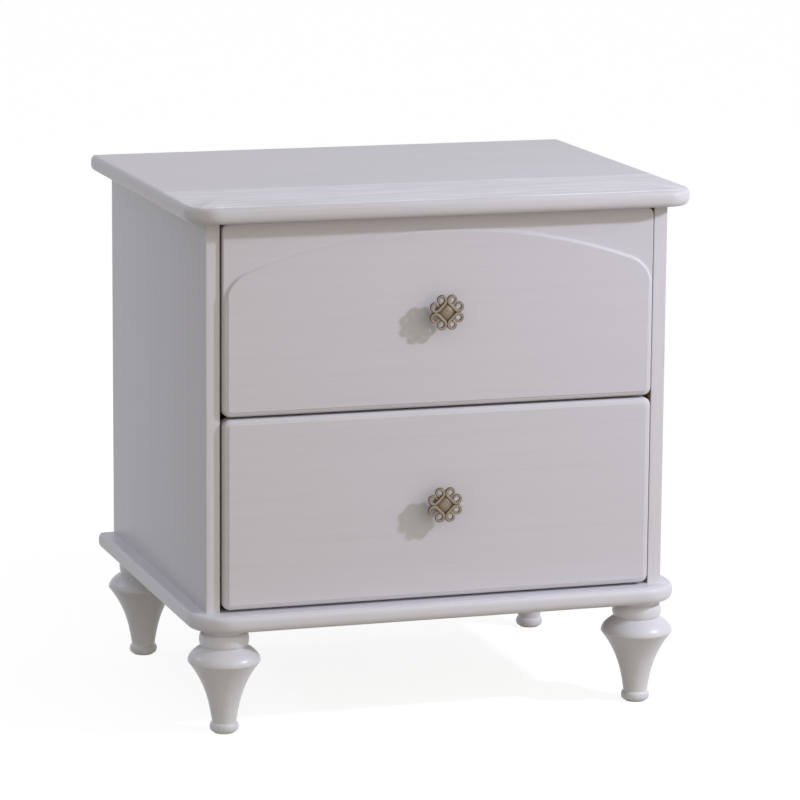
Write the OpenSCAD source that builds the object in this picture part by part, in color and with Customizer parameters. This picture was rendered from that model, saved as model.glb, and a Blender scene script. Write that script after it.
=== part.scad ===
// Two-drawer nightstand on turned legs.
// X runs from left to right, Y from front to back and Z upwards, in millimetres.
// The origin lies on the floor, below the middle of the whole cabinet.

/* [Cabinet] */
// Width over the two side panels
carcase_w = 510; // [440:5:600]
// Depth from the front edges of the side panels to the back
carcase_d = 403; // [395:1:450]
// Height of the side panels
carcase_h = 415; // [370:1:470]
// Thickness of the side panels
panel_t = 15; // [13:0.5:20]
// Thickness of the back panel
back_t = 5; // [3:0.5:8]
// Width of the rebate in each side panel that takes the back panel
rebate_w = 8; // [5:0.5:9]
// Thickness of the two rails under the top board
rail_t = 18; // [16:0.5:22]
// Width of each rail, from its front edge to its rear edge
rail_w = 50; // [40:1:70]

/* [Top board] */
// Thickness of the top board
top_t = 18; // [16:0.5:26]
// How far the top board stands out in front of the side panels
top_front = 30.5; // [15:0.5:45]
// How far the top board stands out past each side panel
top_side = 23.5; // [10:0.5:35]
// Radius of the top board's front corners, seen from above
top_corner_r = 33; // [20:1:60]

/* [Base board] */
// Thickness of the base board
base_t = 18; // [17:0.5:26]
// How far the base board stands out in front of the side panels
base_front = 27; // [15:0.5:40]
// How far the base board stands out past each side panel
base_side = 17.5; // [8:0.5:30]
// Radius of the base board's front corners, seen from above
base_corner_r = 44; // [20:1:60]

/* [Legs] */
// Height of a turned leg
leg_h = 113; // [90:1:150]
// Distance of the leg axes from the outside of the side panels
leg_in_side = 22.5; // [21.5:0.5:32]
// Distance of the front leg axes behind the front of the side panels
leg_in_front = 11.5; // [6:0.5:30]
// Distance of the rear leg axes in front of the cabinet's back
leg_in_back = 46; // [40:0.5:70]
// Radius of the bead below the base board
bead_r = 26.6; // [25:0.1:32]
// Height of the bead
bead_h = 16; // [10:0.5:20]
// Radius of the waist between bead and bulb
waist_r = 24.2; // [20:0.1:25]
// Largest radius of the bulb
bulb_r = 38.7; // [32:0.1:44]
// Height of the bulb, from its lower edge to the waist
bulb_h = 16.6; // [12:0.2:22]
// Radius of the neck above the foot
neck_r = 12.8; // [11:0.1:14]
// Radius of the foot ring
foot_r = 15.4; // [14.5:0.1:20]
// Height of the foot ring
foot_h = 9.4; // [6:0.2:14]
// Height of the short collar between the bead and the base board
collar_h = 2.9; // [1:0.1:5]
// Radius of that collar
collar_r = 22.5; // [19:0.1:24]
// Radius of the nylon glide under each foot
glide_r = 11; // [8:0.5:12]
// Height of the nylon glide
glide_t = 1.6; // [1:0.1:4]
// Radius of the hanger bolt that holds a leg
bolt_r = 4; // [3:0.5:5]
// Length of the hanger bolt inside the leg
bolt_in_leg = 35; // [20:1:45]
// Outside radius of the insert nut for the hanger bolt
nut_r = 6; // [5.8:0.1:7]
// Height of the insert nut
nut_h = 13; // [10:0.5:15]

/* [Drawer fronts] */
// Gap around each drawer front
drawer_gap = 2.5; // [1.5:0.1:4]
// Thickness of a drawer front
front_t = 18; // [15:0.5:22]
// How far a drawer front stands out in front of the side panels
front_proud = 7; // [4:0.5:10]
// Radius of the rounded edges of a drawer front
edge_r = 5; // [4:0.5:8]
// Height of the raised field on the upper front
field_step = 3; // [1:0.5:3.5]
// Width of the sloping edge of the raised field
bevel_w = 4; // [2:0.5:6]
// Radius of the arch over the raised field
arch_r = 618; // [500:1:900]
// Radius of the shoulders at both ends of the arch
shoulder_r = 35.5; // [20:0.5:50]
// Distance from the crest of the arch to the top of the drawer front
arch_drop = 15.2; // [12:0.2:30]

/* [Drawer boxes] */
// Thickness of the sides, front and back of a drawer box
box_t = 12; // [11:0.5:15]
// Thickness of a drawer bottom
bottom_t = 5; // [3:0.5:6]
// Depth of the groove that holds a drawer bottom
groove_d = 6; // [4:0.5:7]
// Height of the drawer bottom above the lower edge of the box
bottom_up = 12; // [8:0.5:16]
// Height of the lower edge of the box above the lower edge of the drawer front
box_rise = 16; // [10:0.5:25]
// Distance from the upper edge of the box to the upper edge of the drawer front
box_drop = 42; // [34:0.5:60]

/* [Slides] */
// Slides come in lengths that are whole multiples of this step
slide_step = 50; // [25:25:100]
// Least room between a drawer box and the back panel
behind_box = 12; // [5:1:36]
// Width of a slide, from side panel to drawer box
slide_w = 12.7; // [12.7:0.1:14]
// Height of a slide
slide_h = 45; // [45:0.5:50]
// Thickness of the slide's steel
sheet_t = 1.2; // [1:0.1:1.3]
// Radius of the balls between cabinet rail and middle rail
outer_ball_r = 1.75; // [1.5:0.05:2]
// Radius of the balls between middle rail and drawer rail
inner_ball_r = 1.5; // [1.3:0.05:1.7]
// Number of balls in each row
ball_count = 6; // [4:1:8]
// Distance from one ball to the next
ball_pitch = 18; // [12:0.5:20]

/* [Knobs] */
// Distance from the drawer front to the front of a knob
knob_reach = 19; // [17:0.5:30]
// How far the boss stands out in front of the scrollwork
boss_rise = 1.5; // [0.5:0.1:3]
// Radius of the knob stem
stem_r = 4.6; // [4:0.1:6]
// Radius of the foot of the knob
knob_foot_r = 7; // [6.5:0.1:9]
// Thickness of the scrollwork
scroll_t = 3; // [2:0.1:4]
// Distance of each scroll's centre from the knob's centre
scroll_out = 13.7; // [13:0.1:14.2]
// Outside radius of each scroll
scroll_r = 6.3; // [6.1:0.1:6.8]
// Width of the scroll's wire
scroll_wire = 2.3; // [2:0.1:3]
// Side length of the square boss in the middle of a knob
boss_w = 12; // [10:0.5:14]
// Radius of the knob's machine screw
knob_screw_r = 2; // [1.5:0.1:2.5]

/* [Fasteners] */
// Radius of the wood screws
screw_r = 1.75; // [1.5:0.05:2.25]
// Radius of the dowels
dowel_r = 3; // [2:0.1:4]
// Radial clearance of fasteners in their holes, and of panels in their grooves
fit_gap = 0.1; // [0.05:0.05:0.3]
// Clearance between the balls and the rails they run on
ball_gap = 0.05; // [0.02:0.01:0.1]

/* [Hidden] */
$fn = 48;

// Colours
paint = [0.86, 0.85, 0.87];
raw_wood = [0.86, 0.76, 0.61];
zinc = [0.72, 0.73, 0.74];
bronze = [0.46, 0.41, 0.35];
nylon = [0.25, 0.24, 0.23];

// Heights
base_z = glide_t + leg_h;
floor_z = base_z + base_t;
ceiling_z = floor_z + carcase_h;
rail_z = ceiling_z - rail_t;

// Widths and depths of the cabinet
inner_w = carcase_w - 2 * panel_t;
front_back_y = front_t - front_proud;
rail_set_back = 2;
rail_y = front_back_y + rail_set_back;
back_y = carcase_d - back_t;
rear_rail_y = back_y - rail_w;
leg_x = carcase_w / 2 - leg_in_side;
front_leg_y = leg_in_front;
rear_leg_y = carcase_d - leg_in_back;
front_reach = max(top_front, base_front, front_proud + knob_reach);
center_y = (carcase_d - front_reach) / 2;

// Drawers: the box is as long as the longest slide that fits the cabinet
slide_len = slide_step * floor((back_y - behind_box - front_back_y) / slide_step);
front_w = inner_w - 2 * drawer_gap;
front_h = (carcase_h - 3 * drawer_gap) / 2;
lower_z = floor_z + drawer_gap;
upper_z = lower_z + front_h + drawer_gap;
box_w = inner_w - 2 * slide_w;
box_h = front_h - box_rise - box_drop;
box_inner_w = box_w - 2 * box_t;
box_front_y = front_back_y;
box_back_y = box_front_y + slide_len;

// Slides: u is the distance from the side panel, v the height above the slide's middle
slide_set_back = 3;
slide_y = front_back_y + slide_set_back;
slide_up = box_rise + box_h / 2;
web_gap = 0.6;
lip_gap = 1;
middle_u = sheet_t + web_gap;
inner_u = slide_w - sheet_t;
flange_v = slide_h / 2 - sheet_t;
outer_ball_v = flange_v - ball_gap - outer_ball_r;
middle_v = outer_ball_v - outer_ball_r - ball_gap;
inner_ball_v = middle_v - sheet_t - ball_gap - inner_ball_r;
inner_v = inner_ball_v - inner_ball_r - ball_gap;
ball_u = (middle_u + inner_u) / 2;
cage_w = 4.6;
cage_t = 1;
cage_len = ball_count * ball_pitch;
cage_y = (slide_len - cage_len) / 2;
middle_rail_y = 6;
middle_rail_len = slide_len - 2 * middle_rail_y;
drawer_rail_len = slide_len - slide_y + box_front_y;
rail_screw_in = 32;
rail_screw_ys = [rail_screw_in, slide_len / 2, slide_len - rail_screw_in];

// Screws and dowels
over = 1;
bore_spare = 0.5;
head_r = 2 * screw_r;
head_h = 1.6;
rail_head_h = sheet_t;
pilot_r = screw_r + fit_gap;
screw_bite = 11;
rail_screw_len = 11;
front_screw_len = box_t + screw_bite;
front_screw_side = 40;
front_screw_x = box_inner_w / 2 - front_screw_side;
front_screw_in = 24;
top_screw_len = rail_t + screw_bite;
top_screw_side = 70;
top_screw_x = inner_w / 2 - top_screw_side;
base_screw_bite = 30;
base_screw_len = base_t + base_screw_bite;
base_screw_ys = [carcase_d * 0.22, carcase_d / 2, carcase_d * 0.72];
back_screw_len = 18;
rail_dowel_len = 24;
rail_dowel_in = 9;
rail_dowel_ys = [rail_w * 0.25, rail_w * 0.75];
box_dowel_len = 22;
box_dowel_in = 7;
knob_bore = 10;
knob_screw_len = front_t + box_t + knob_bore - over;
knob_screw_head_h = 2;

// Knobs
scroll_lean = 26;
knob_foot_h = 1.5;
knob_neck_z = 4;
knob_lift = 2;
knob_z = front_h / 2 + knob_lift;

// The arch: one wide arc between two shoulders that turn into the sides
field_x = front_w / 2 - bevel_w / 2;
shoulder_x = field_x - shoulder_r;
arch_center = front_h - arch_drop - arch_r;
shoulder_turn = asin(shoulder_x / (arch_r - shoulder_r));
shoulder_y = arch_center + (arch_r - shoulder_r) * cos(shoulder_turn);

function arc(center, r, from, to, steps) =
    [for (i = [0:steps]) let (a = from + (to - from) * i / steps)
        [center[0] + r * cos(a), center[1] + r * sin(a)]];

// ---- Shared shapes -------------------------------------------------------

// Puts the front edges of the side panels where the cabinet's middle is the origin
module in_place() {
    translate([0, -center_y, 0]) children();
}

// Draws its children and their mirror image on the other side of the cabinet
module both_sides() {
    children();
    mirror([1, 0, 0]) children();
}

// Half a round bar along Y: the rounded edge of a board, facing +X
module half_bar(r, len) {
    intersection() {
        rotate([-90, 0, 0]) cylinder(r = r, h = len);
        translate([0, 0, -r]) cube([r, len, 2 * r]);
    }
}

// Board with a fully rounded edge on its front and both sides, and a square back
module rounded_board(w, d, t, corner) {
    nose = t / 2;
    translate([corner - w / 2, nose, 0]) cube([w - 2 * corner, d - nose, t]);
    translate([corner - w / 2, nose, nose]) rotate([0, 0, -90]) half_bar(nose, w - 2 * corner);
    both_sides() {
        translate([w / 2 - corner, corner, 0]) cube([corner - nose, d - corner, t]);
        translate([w / 2 - nose, corner, nose]) half_bar(nose, d - corner);
        translate([w / 2 - corner, corner, 0]) rotate([0, 0, -90]) rotate_extrude(angle = 90) {
            square([corner - nose, t]);
            translate([corner - nose, nose]) intersection() {
                circle(r = nose);
                translate([0, -nose]) square([nose, t]);
            }
        }
    }
}

// Slab w by h standing in the XY plane, t thick, with rounded edges on its +Z side.
// It starts at the middle of its lower edge.
module rounded_slab(w, h, t, r) {
    flat = t - r;
    translate([r - w / 2, r, 0]) cube([w - 2 * r, h - 2 * r, t]);
    for (turn = [0, 180])
        translate([0, h / 2, 0]) rotate([0, 0, turn]) translate([0, -h / 2, 0]) {
            translate([r - w / 2, 0, 0]) cube([w - 2 * r, r, flat]);
            translate([r - w / 2, r, flat]) rotate([0, 90, 0]) quarter_bar(r, w - 2 * r);
            translate([w / 2 - r, r, 0]) cube([r, h - 2 * r, flat]);
            translate([w / 2 - r, h - r, flat]) rotate([90, 0, 0]) rotate([0, 0, 90])
                quarter_bar(r, h - 2 * r);
            translate([w / 2 - r, r, 0]) rotate([0, 0, -90]) slab_corner(r, flat);
            translate([r - w / 2, r, 0]) rotate([0, 0, 180]) slab_corner(r, flat);
        }
}

// Quarter of a round bar along Z, on the side of -X and -Y
module quarter_bar(r, len) {
    intersection() {
        cylinder(r = r, h = len);
        translate([-r, -r, 0]) cube([r, r, len]);
    }
}

// Rounded corner of such a slab: a quarter of a round post with a ball-shaped end
module slab_corner(r, flat) {
    rotate_extrude(angle = 90) {
        square([r, flat]);
        translate([0, flat]) intersection() {
            circle(r = r);
            square([r, r]);
        }
    }
}

// Countersunk screw with its flat head at the origin, pointing along +Z
module countersunk_screw(r, len, head) {
    tip = 2 * r;
    difference() {
        rotate_extrude() polygon([
            [0, 0], [head_r, 0], [r, head], [r, len - tip], [0, len]
        ]);
        for (a = [0, 90])
            rotate([0, 0, a]) translate([-r, -r / 5, -over]) cube([2 * r, r / 2.5, over + head * 0.7]);
    }
}

// Hole for such a screw: the head's cone and a pilot bore
module screw_hole(len, head) {
    cylinder(r1 = head_r + fit_gap, r2 = pilot_r, h = head);
    cylinder(r = pilot_r, h = len + bore_spare);
}

// ---- Cabinet -------------------------------------------------------------

module top_board() {
    color(paint) in_place() difference() {
        translate([0, -top_front, ceiling_z])
            rounded_board(carcase_w + 2 * top_side, carcase_d + top_front, top_t, top_corner_r);
        at_top_screws() screw_hole(top_screw_len, head_h);
    }
}

module base_board() {
    color(paint) in_place() difference() {
        translate([0, -base_front, base_z])
            rounded_board(carcase_w + 2 * base_side, carcase_d + base_front, base_t, base_corner_r);
        at_legs() translate([0, 0, base_z - over])
            cylinder(r = nut_r + fit_gap, h = nut_h + fit_gap + over);
        at_base_screws() screw_hole(base_screw_len, head_h);
    }
}

// Side panel on the right; the left one is its mirror image
module side_panel() {
    color(paint) in_place() difference() {
        translate([inner_w / 2, 0, floor_z]) cube([panel_t, carcase_d, carcase_h]);
        translate([inner_w / 2 - over, back_y, floor_z - over])
            cube([rebate_w + over, back_t + over, carcase_h + 2 * over]);
        at_base_screws() screw_hole(base_screw_len, head_h);
        at_rail_dowels() cylinder(r = dowel_r + fit_gap, h = rail_dowel_in + bore_spare);
        for (z = [lower_z, upper_z])
            right_slide(z) at_rail_screws(sheet_t, -90) screw_hole(rail_screw_len, rail_head_h);
    }
}

module left_side_panel() { mirror([1, 0, 0]) side_panel(); }

module right_side_panel() { side_panel(); }

module back_panel() {
    w = inner_w + 2 * (rebate_w - fit_gap);
    color(raw_wood) in_place() difference() {
        translate([-w / 2, back_y, floor_z]) cube([w, back_t, carcase_h]);
        at_back_screws() screw_hole(back_screw_len, head_h);
    }
}

module top_rail(y) {
    color(raw_wood) in_place() difference() {
        translate([-inner_w / 2, y, rail_z]) cube([inner_w, rail_w, rail_t]);
        at_top_screws() screw_hole(top_screw_len, head_h);
        both_sides() at_rail_dowels()
            translate([0, 0, -rail_dowel_len]) cylinder(r = dowel_r + fit_gap, h = rail_dowel_len + over);
        at_back_screws() screw_hole(back_screw_len, head_h);
    }
}

module front_top_rail() { top_rail(rail_y); }

module rear_top_rail() { top_rail(rear_rail_y); }

// Screws that go up through the rails into the top board
module at_top_screws() {
    for (x = [-top_screw_x, top_screw_x], y = [rail_y, rear_rail_y])
        translate([x, y + rail_w / 2, rail_z]) children();
}

// Screws that go up through the base board into the side panels
module at_base_screws() {
    both_sides() for (y = base_screw_ys)
        translate([inner_w / 2 + panel_t / 2, y, base_z]) children();
}

// Dowels from the rails into the right side panel, along +X from the panel's inner face
module at_rail_dowels() {
    for (y = [rail_y, rear_rail_y], dy = rail_dowel_ys)
        translate([inner_w / 2, y + dy, rail_z + rail_t / 2]) rotate([0, 90, 0]) children();
}

// Screws that hold the back panel to the rear rail
module at_back_screws() {
    for (x = [-inner_w / 3, 0, inner_w / 3])
        translate([x, carcase_d, rail_z + rail_t / 2]) rotate([90, 0, 0]) children();
}

module top_screws() {
    color(zinc) in_place() at_top_screws() countersunk_screw(screw_r, top_screw_len, head_h);
}

module base_screws() {
    color(zinc) in_place() at_base_screws() countersunk_screw(screw_r, base_screw_len, head_h);
}

module back_panel_screws() {
    color(zinc) in_place() at_back_screws() countersunk_screw(screw_r, back_screw_len, head_h);
}

module rail_dowels() {
    color(raw_wood) in_place() both_sides() at_rail_dowels()
        translate([0, 0, rail_dowel_in - rail_dowel_len]) cylinder(r = dowel_r, h = rail_dowel_len);
}

// ---- Legs ----------------------------------------------------------------

module at_legs() {
    both_sides() for (y = [front_leg_y, rear_leg_y]) translate([leg_x, y, 0]) children();
}

// Outline of a turned leg from its foot upwards.
// The foot ring and the bead are half ellipses, the taper starts as a cone and
// flares more and more, and the bulb draws in along a parabola.
leg_taper_h = leg_h - foot_h - bulb_h - bead_h - collar_h;
crease_z = foot_h + leg_taper_h;
waist_z = crease_z + bulb_h;
pin_r = 1.5;
pin_h = 8;
cone_part = 0.385;
flare_power = 2.75;

function half_ellipse(z, h, r_low, r_high, r_out) =
    [for (a = [-90:15:90]) let (r_in = a < 0 ? r_low : r_high)
        [r_in + (r_out - r_in) * cos(a), z + h / 2 * (1 + sin(a))]];

function taper_r(t) =
    neck_r + (bulb_r - neck_r) * (cone_part * t + (1 - cone_part) * pow(t, flare_power));

leg_outline = concat(
    half_ellipse(0, foot_h, neck_r, neck_r, foot_r),
    [for (t = [0.1:0.1:1]) [taper_r(t), foot_h + leg_taper_h * t]],
    [for (t = [0.1:0.1:0.9])
        [waist_r + (bulb_r - waist_r) * (1 - t * t), crease_z + bulb_h * t]],
    half_ellipse(waist_z, bead_h, waist_r, collar_r, bead_r),
    [[collar_r, leg_h], [0, leg_h], [0, 0]]
);

module turned_leg(side, y) {
    color(paint) in_place() translate([side * leg_x, y, glide_t]) difference() {
        rotate_extrude() polygon(leg_outline);
        translate([0, 0, leg_h - bolt_in_leg - bore_spare])
            cylinder(r = bolt_r + fit_gap, h = bolt_in_leg + bore_spare + over);
        glide_pin(fit_gap);
    }
}

module front_left_leg() { turned_leg(-1, front_leg_y); }

module front_right_leg() { turned_leg(1, front_leg_y); }

module rear_left_leg() { turned_leg(-1, rear_leg_y); }

module rear_right_leg() { turned_leg(1, rear_leg_y); }

// Pin of the glide, which is pressed into the foot
module glide_pin(gap) {
    cylinder(r = pin_r + gap, h = pin_h + gap);
}

module foot_glides() {
    color(nylon) in_place() at_legs() {
        cylinder(r = glide_r, h = glide_t);
        translate([0, 0, glide_t]) glide_pin(0);
    }
}

module hanger_bolts() {
    color(zinc) in_place() at_legs() translate([0, 0, base_z - bolt_in_leg])
        cylinder(r = bolt_r, h = bolt_in_leg + nut_h - over);
}

module insert_nuts() {
    color(zinc) in_place() at_legs() translate([0, 0, base_z]) difference() {
        cylinder(r = nut_r, h = nut_h);
        translate([0, 0, -over]) cylinder(r = bolt_r + fit_gap, h = nut_h + 2 * over);
    }
}

// ---- Slides --------------------------------------------------------------

// Frame of a right-hand slide: u runs along +X here, from the panel to the drawer
module right_slide(z) {
    translate([inner_w / 2, slide_y, z + slide_up]) mirror([1, 0, 0]) children();
}

// Channel of bent steel along Y: a web at u, v up to half, flanges from u0 to u1
module channel(web_u, flange_u0, flange_u1, half, len) {
    translate([web_u, 0, -half]) cube([sheet_t, len, 2 * half]);
    for (z = [-half, half - sheet_t])
        translate([flange_u0, 0, z]) cube([flange_u1 - flange_u0, len, sheet_t]);
}

// Screw places along a rail's web, turned to point along +Z for -90 or 90 degrees
module at_rail_screws(u, turn) {
    for (y = rail_screw_ys) translate([u, y, 0]) rotate([0, turn, 0]) children();
}

module cabinet_rail() {
    difference() {
        channel(0, 0, inner_u - lip_gap, slide_h / 2, slide_len);
        at_rail_screws(sheet_t, -90) screw_hole(rail_screw_len, rail_head_h);
    }
}

module middle_rail() {
    translate([0, middle_rail_y, 0])
        channel(middle_u, middle_u, inner_u - web_gap, middle_v, middle_rail_len);
}

module drawer_rail() {
    difference() {
        channel(inner_u, middle_u + sheet_t + web_gap, slide_w, inner_v, drawer_rail_len);
        at_rail_screws(inner_u, 90) screw_hole(rail_screw_len, rail_head_h);
    }
}

// Ball places of one slide, in rows above and below its middle
module at_balls(v) {
    for (i = [0:ball_count - 1], s = [-1, 1])
        translate([ball_u, cage_y + ball_pitch * (i + 0.5), s * v]) children();
}

// Two flat strips that keep the balls of one slide apart
module ball_cage(v, ball_r) {
    difference() {
        for (s = [-1, 1])
            translate([ball_u - cage_w / 2, cage_y, s * v - cage_t / 2])
                cube([cage_w, cage_len, cage_t]);
        at_balls(v) cylinder(r = ball_r + fit_gap, h = 2 * cage_t, center = true);
    }
}

module slide_pair(z) {
    both_sides() right_slide(z) children();
}

module upper_left_cabinet_rail() {
    color(zinc) in_place() mirror([1, 0, 0]) right_slide(upper_z) cabinet_rail();
}

module upper_right_cabinet_rail() {
    color(zinc) in_place() right_slide(upper_z) cabinet_rail();
}

module lower_left_cabinet_rail() {
    color(zinc) in_place() mirror([1, 0, 0]) right_slide(lower_z) cabinet_rail();
}

module lower_right_cabinet_rail() {
    color(zinc) in_place() right_slide(lower_z) cabinet_rail();
}

module cabinet_rail_screws() {
    color(zinc) in_place() for (z = [lower_z, upper_z])
        slide_pair(z) at_rail_screws(sheet_t, -90)
            countersunk_screw(screw_r, rail_screw_len, rail_head_h);
}

module left_middle_rail(z) {
    color(zinc) in_place() mirror([1, 0, 0]) right_slide(z) middle_rail();
}

module right_middle_rail(z) {
    color(zinc) in_place() right_slide(z) middle_rail();
}

module left_drawer_rail(z) {
    color(zinc) in_place() mirror([1, 0, 0]) right_slide(z) drawer_rail();
}

module right_drawer_rail(z) {
    color(zinc) in_place() right_slide(z) drawer_rail();
}

module cages(z, v, ball_r) {
    color(zinc) in_place() slide_pair(z) ball_cage(v, ball_r);
}

module balls(z, v, ball_r) {
    color(zinc) in_place() slide_pair(z) at_balls(v) sphere(r = ball_r);
}

module upper_left_middle_rail() { left_middle_rail(upper_z); }

module upper_right_middle_rail() { right_middle_rail(upper_z); }

module upper_left_drawer_rail() { left_drawer_rail(upper_z); }

module upper_right_drawer_rail() { right_drawer_rail(upper_z); }

module upper_outer_cages() { cages(upper_z, outer_ball_v, outer_ball_r); }

module upper_inner_cages() { cages(upper_z, inner_ball_v, inner_ball_r); }

module upper_outer_balls() { balls(upper_z, outer_ball_v, outer_ball_r); }

module upper_inner_balls() { balls(upper_z, inner_ball_v, inner_ball_r); }

module lower_left_middle_rail() { left_middle_rail(lower_z); }

module lower_right_middle_rail() { right_middle_rail(lower_z); }

module lower_left_drawer_rail() { left_drawer_rail(lower_z); }

module lower_right_drawer_rail() { right_drawer_rail(lower_z); }

module lower_outer_cages() { cages(lower_z, outer_ball_v, outer_ball_r); }

module lower_inner_cages() { cages(lower_z, inner_ball_v, inner_ball_r); }

module lower_outer_balls() { balls(lower_z, outer_ball_v, outer_ball_r); }

module lower_inner_balls() { balls(lower_z, inner_ball_v, inner_ball_r); }

// ---- Drawers -------------------------------------------------------------

// Turns a shape drawn in the XY plane to stand upright and face the front
module facing(y, z) {
    translate([0, y, z]) rotate([90, 0, 0]) children();
}

// Screws from inside the drawer through the box front into the drawer front
module at_front_screws() {
    for (x = [-front_screw_x, front_screw_x], z = [front_screw_in, box_h - front_screw_in])
        translate([x, box_rise + z, 0]) children();
}

// Bores at the back of a drawer front and for its knob's screw
module front_bores() {
    translate([0, knob_z, -over]) cylinder(r = knob_screw_r + fit_gap, h = front_t + 2 * over);
    translate([0, 0, -box_t]) at_front_screws() screw_hole(front_screw_len, head_h);
}

// Outline of the raised field; grow moves its arch outwards
module field_outline(grow) {
    polygon(concat(
        arc([shoulder_x, shoulder_y], shoulder_r + grow, 0, 90 - shoulder_turn, 8),
        arc([0, arch_center], arch_r + grow, 90 - shoulder_turn, 90 + shoulder_turn, 24),
        arc([-shoulder_x, shoulder_y], shoulder_r + grow, 90 + shoulder_turn, 180, 8)
    ));
}

module flat_front(z) {
    color(paint) in_place() facing(front_back_y, z) difference() {
        rounded_slab(front_w, front_h, front_t, edge_r);
        front_bores();
    }
}

module arched_front(z) {
    low = front_t - field_step;
    color(paint) in_place() facing(front_back_y, z) difference() {
        intersection() {
            rounded_slab(front_w, front_h, front_t, edge_r);
            union() {
                translate([-front_w / 2, 0, 0]) cube([front_w, front_h, low]);
                translate([-front_w / 2, 0, 0]) cube([front_w, shoulder_y, front_t]);
                hull() {
                    translate([0, 0, low - over]) linear_extrude(over) field_outline(bevel_w / 2);
                    translate([0, 0, low - over]) linear_extrude(over + field_step)
                        field_outline(-bevel_w / 2);
                }
            }
        }
        front_bores();
    }
}

// Groove for the bottom, cut round the inside of the box
module bottom_groove(z) {
    grow = groove_d + fit_gap;
    translate([-box_inner_w / 2 - grow, box_front_y + box_t - grow, z + box_rise + bottom_up])
        cube([box_inner_w + 2 * grow, slide_len - 2 * box_t + 2 * grow, bottom_t + fit_gap]);
}

// Dowels through the right corners of the box, along +X from the side's inner face
module at_box_dowels(z) {
    for (y = [box_front_y + box_t / 2, box_back_y - box_t / 2], v = [0.34, 0.8])
        translate([box_inner_w / 2, y, z + box_rise + v * box_h]) rotate([0, 90, 0]) children();
}

module box_side(z) {
    color(raw_wood) in_place() difference() {
        translate([box_inner_w / 2, box_front_y, z + box_rise]) cube([box_t, slide_len, box_h]);
        bottom_groove(z);
        at_box_dowels(z) cylinder(r = dowel_r + fit_gap, h = box_dowel_in + bore_spare);
        right_slide(z) at_rail_screws(inner_u, 90) screw_hole(rail_screw_len, rail_head_h);
    }
}

module box_end(y, z) {
    color(raw_wood) in_place() difference() {
        translate([-box_inner_w / 2, y, z + box_rise]) cube([box_inner_w, box_t, box_h]);
        bottom_groove(z);
        both_sides() at_box_dowels(z)
            translate([0, 0, -box_dowel_len]) cylinder(r = dowel_r + fit_gap, h = box_dowel_len + over);
        facing(box_front_y + box_t, z) at_front_screws() screw_hole(front_screw_len, head_h);
        facing(box_front_y + box_t + over, z) translate([0, knob_z, 0])
            cylinder(r = knob_screw_r + fit_gap, h = box_t + 2 * over);
    }
}

module box_bottom(z) {
    color(raw_wood) in_place()
        translate([-box_inner_w / 2 - groove_d, box_front_y + box_t - groove_d, z + box_rise + bottom_up])
            cube([box_inner_w + 2 * groove_d, slide_len - 2 * box_t + 2 * groove_d, bottom_t]);
}

module box_dowels(z) {
    color(raw_wood) in_place() both_sides() at_box_dowels(z)
        translate([0, 0, box_dowel_in - box_dowel_len]) cylinder(r = dowel_r, h = box_dowel_len);
}

// The wood screws of one drawer: those of its front and those of its slide rails
module drawer_screws(z) {
    color(zinc) in_place() {
        facing(box_front_y + box_t, z) at_front_screws()
            countersunk_screw(screw_r, front_screw_len, head_h);
        slide_pair(z) at_rail_screws(inner_u, 90)
            countersunk_screw(screw_r, rail_screw_len, rail_head_h);
    }
}

// Eight rings round the boss, two in each quarter
module scroll_rings() {
    for (quarter = [0:90:270], lean = [-scroll_lean, scroll_lean])
        rotate(quarter + lean) translate([0, scroll_out]) difference() {
            circle(r = scroll_r);
            circle(r = scroll_r - scroll_wire);
        }
}

// Knob with its foot at the origin, facing +Z
module knob_shape() {
    scroll_z = knob_reach - boss_rise - scroll_t;
    difference() {
        union() {
            rotate_extrude() polygon([
                [0, 0], [knob_foot_r, 0], [knob_foot_r, knob_foot_h], [stem_r, knob_neck_z],
                [stem_r, scroll_z - knob_foot_h], [boss_w / 2, scroll_z], [0, scroll_z]
            ]);
            translate([0, 0, scroll_z]) linear_extrude(scroll_t) {
                rotate(45) square(boss_w + 2 * scroll_wire, center = true);
                scroll_rings();
            }
            intersection() {
                rotate([0, 0, 45]) translate([-boss_w / 2, -boss_w / 2, scroll_z])
                    cube([boss_w, boss_w, knob_reach - scroll_z]);
                translate([0, 0, knob_reach - 2 * boss_w]) sphere(r = 2 * boss_w);
            }
        }
        translate([0, 0, -over]) cylinder(r = knob_screw_r + fit_gap, h = knob_bore + over);
    }
}

module knob(z) {
    color(bronze) in_place() facing(-front_proud, z) translate([0, knob_z, 0]) knob_shape();
}

// Machine screw from inside the drawer into the knob, with a low round head
module knob_screw(z) {
    color(zinc) in_place() facing(box_front_y + box_t, z) translate([0, knob_z, 0]) {
        cylinder(r = knob_screw_r, h = knob_screw_len);
        difference() {
            translate([0, 0, -knob_screw_head_h]) cylinder(r = 2 * knob_screw_r, h = knob_screw_head_h);
            translate([-3 * knob_screw_r, -0.5, -1.5 * knob_screw_head_h])
                cube([6 * knob_screw_r, 1, knob_screw_head_h]);
        }
    }
}

module upper_front() { arched_front(upper_z); }

module upper_box_front() { box_end(box_front_y, upper_z); }

module upper_box_left() { mirror([1, 0, 0]) box_side(upper_z); }

module upper_box_right() { box_side(upper_z); }

module upper_box_back() { box_end(box_back_y - box_t, upper_z); }

module upper_box_bottom() { box_bottom(upper_z); }

module upper_knob() { knob(upper_z); }

module upper_knob_screw() { knob_screw(upper_z); }

module upper_drawer_screws() { drawer_screws(upper_z); }

module upper_box_dowels() { box_dowels(upper_z); }

module lower_front() { flat_front(lower_z); }

module lower_box_front() { box_end(box_front_y, lower_z); }

module lower_box_left() { mirror([1, 0, 0]) box_side(lower_z); }

module lower_box_right() { box_side(lower_z); }

module lower_box_back() { box_end(box_back_y - box_t, lower_z); }

module lower_box_bottom() { box_bottom(lower_z); }

module lower_knob() { knob(lower_z); }

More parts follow.
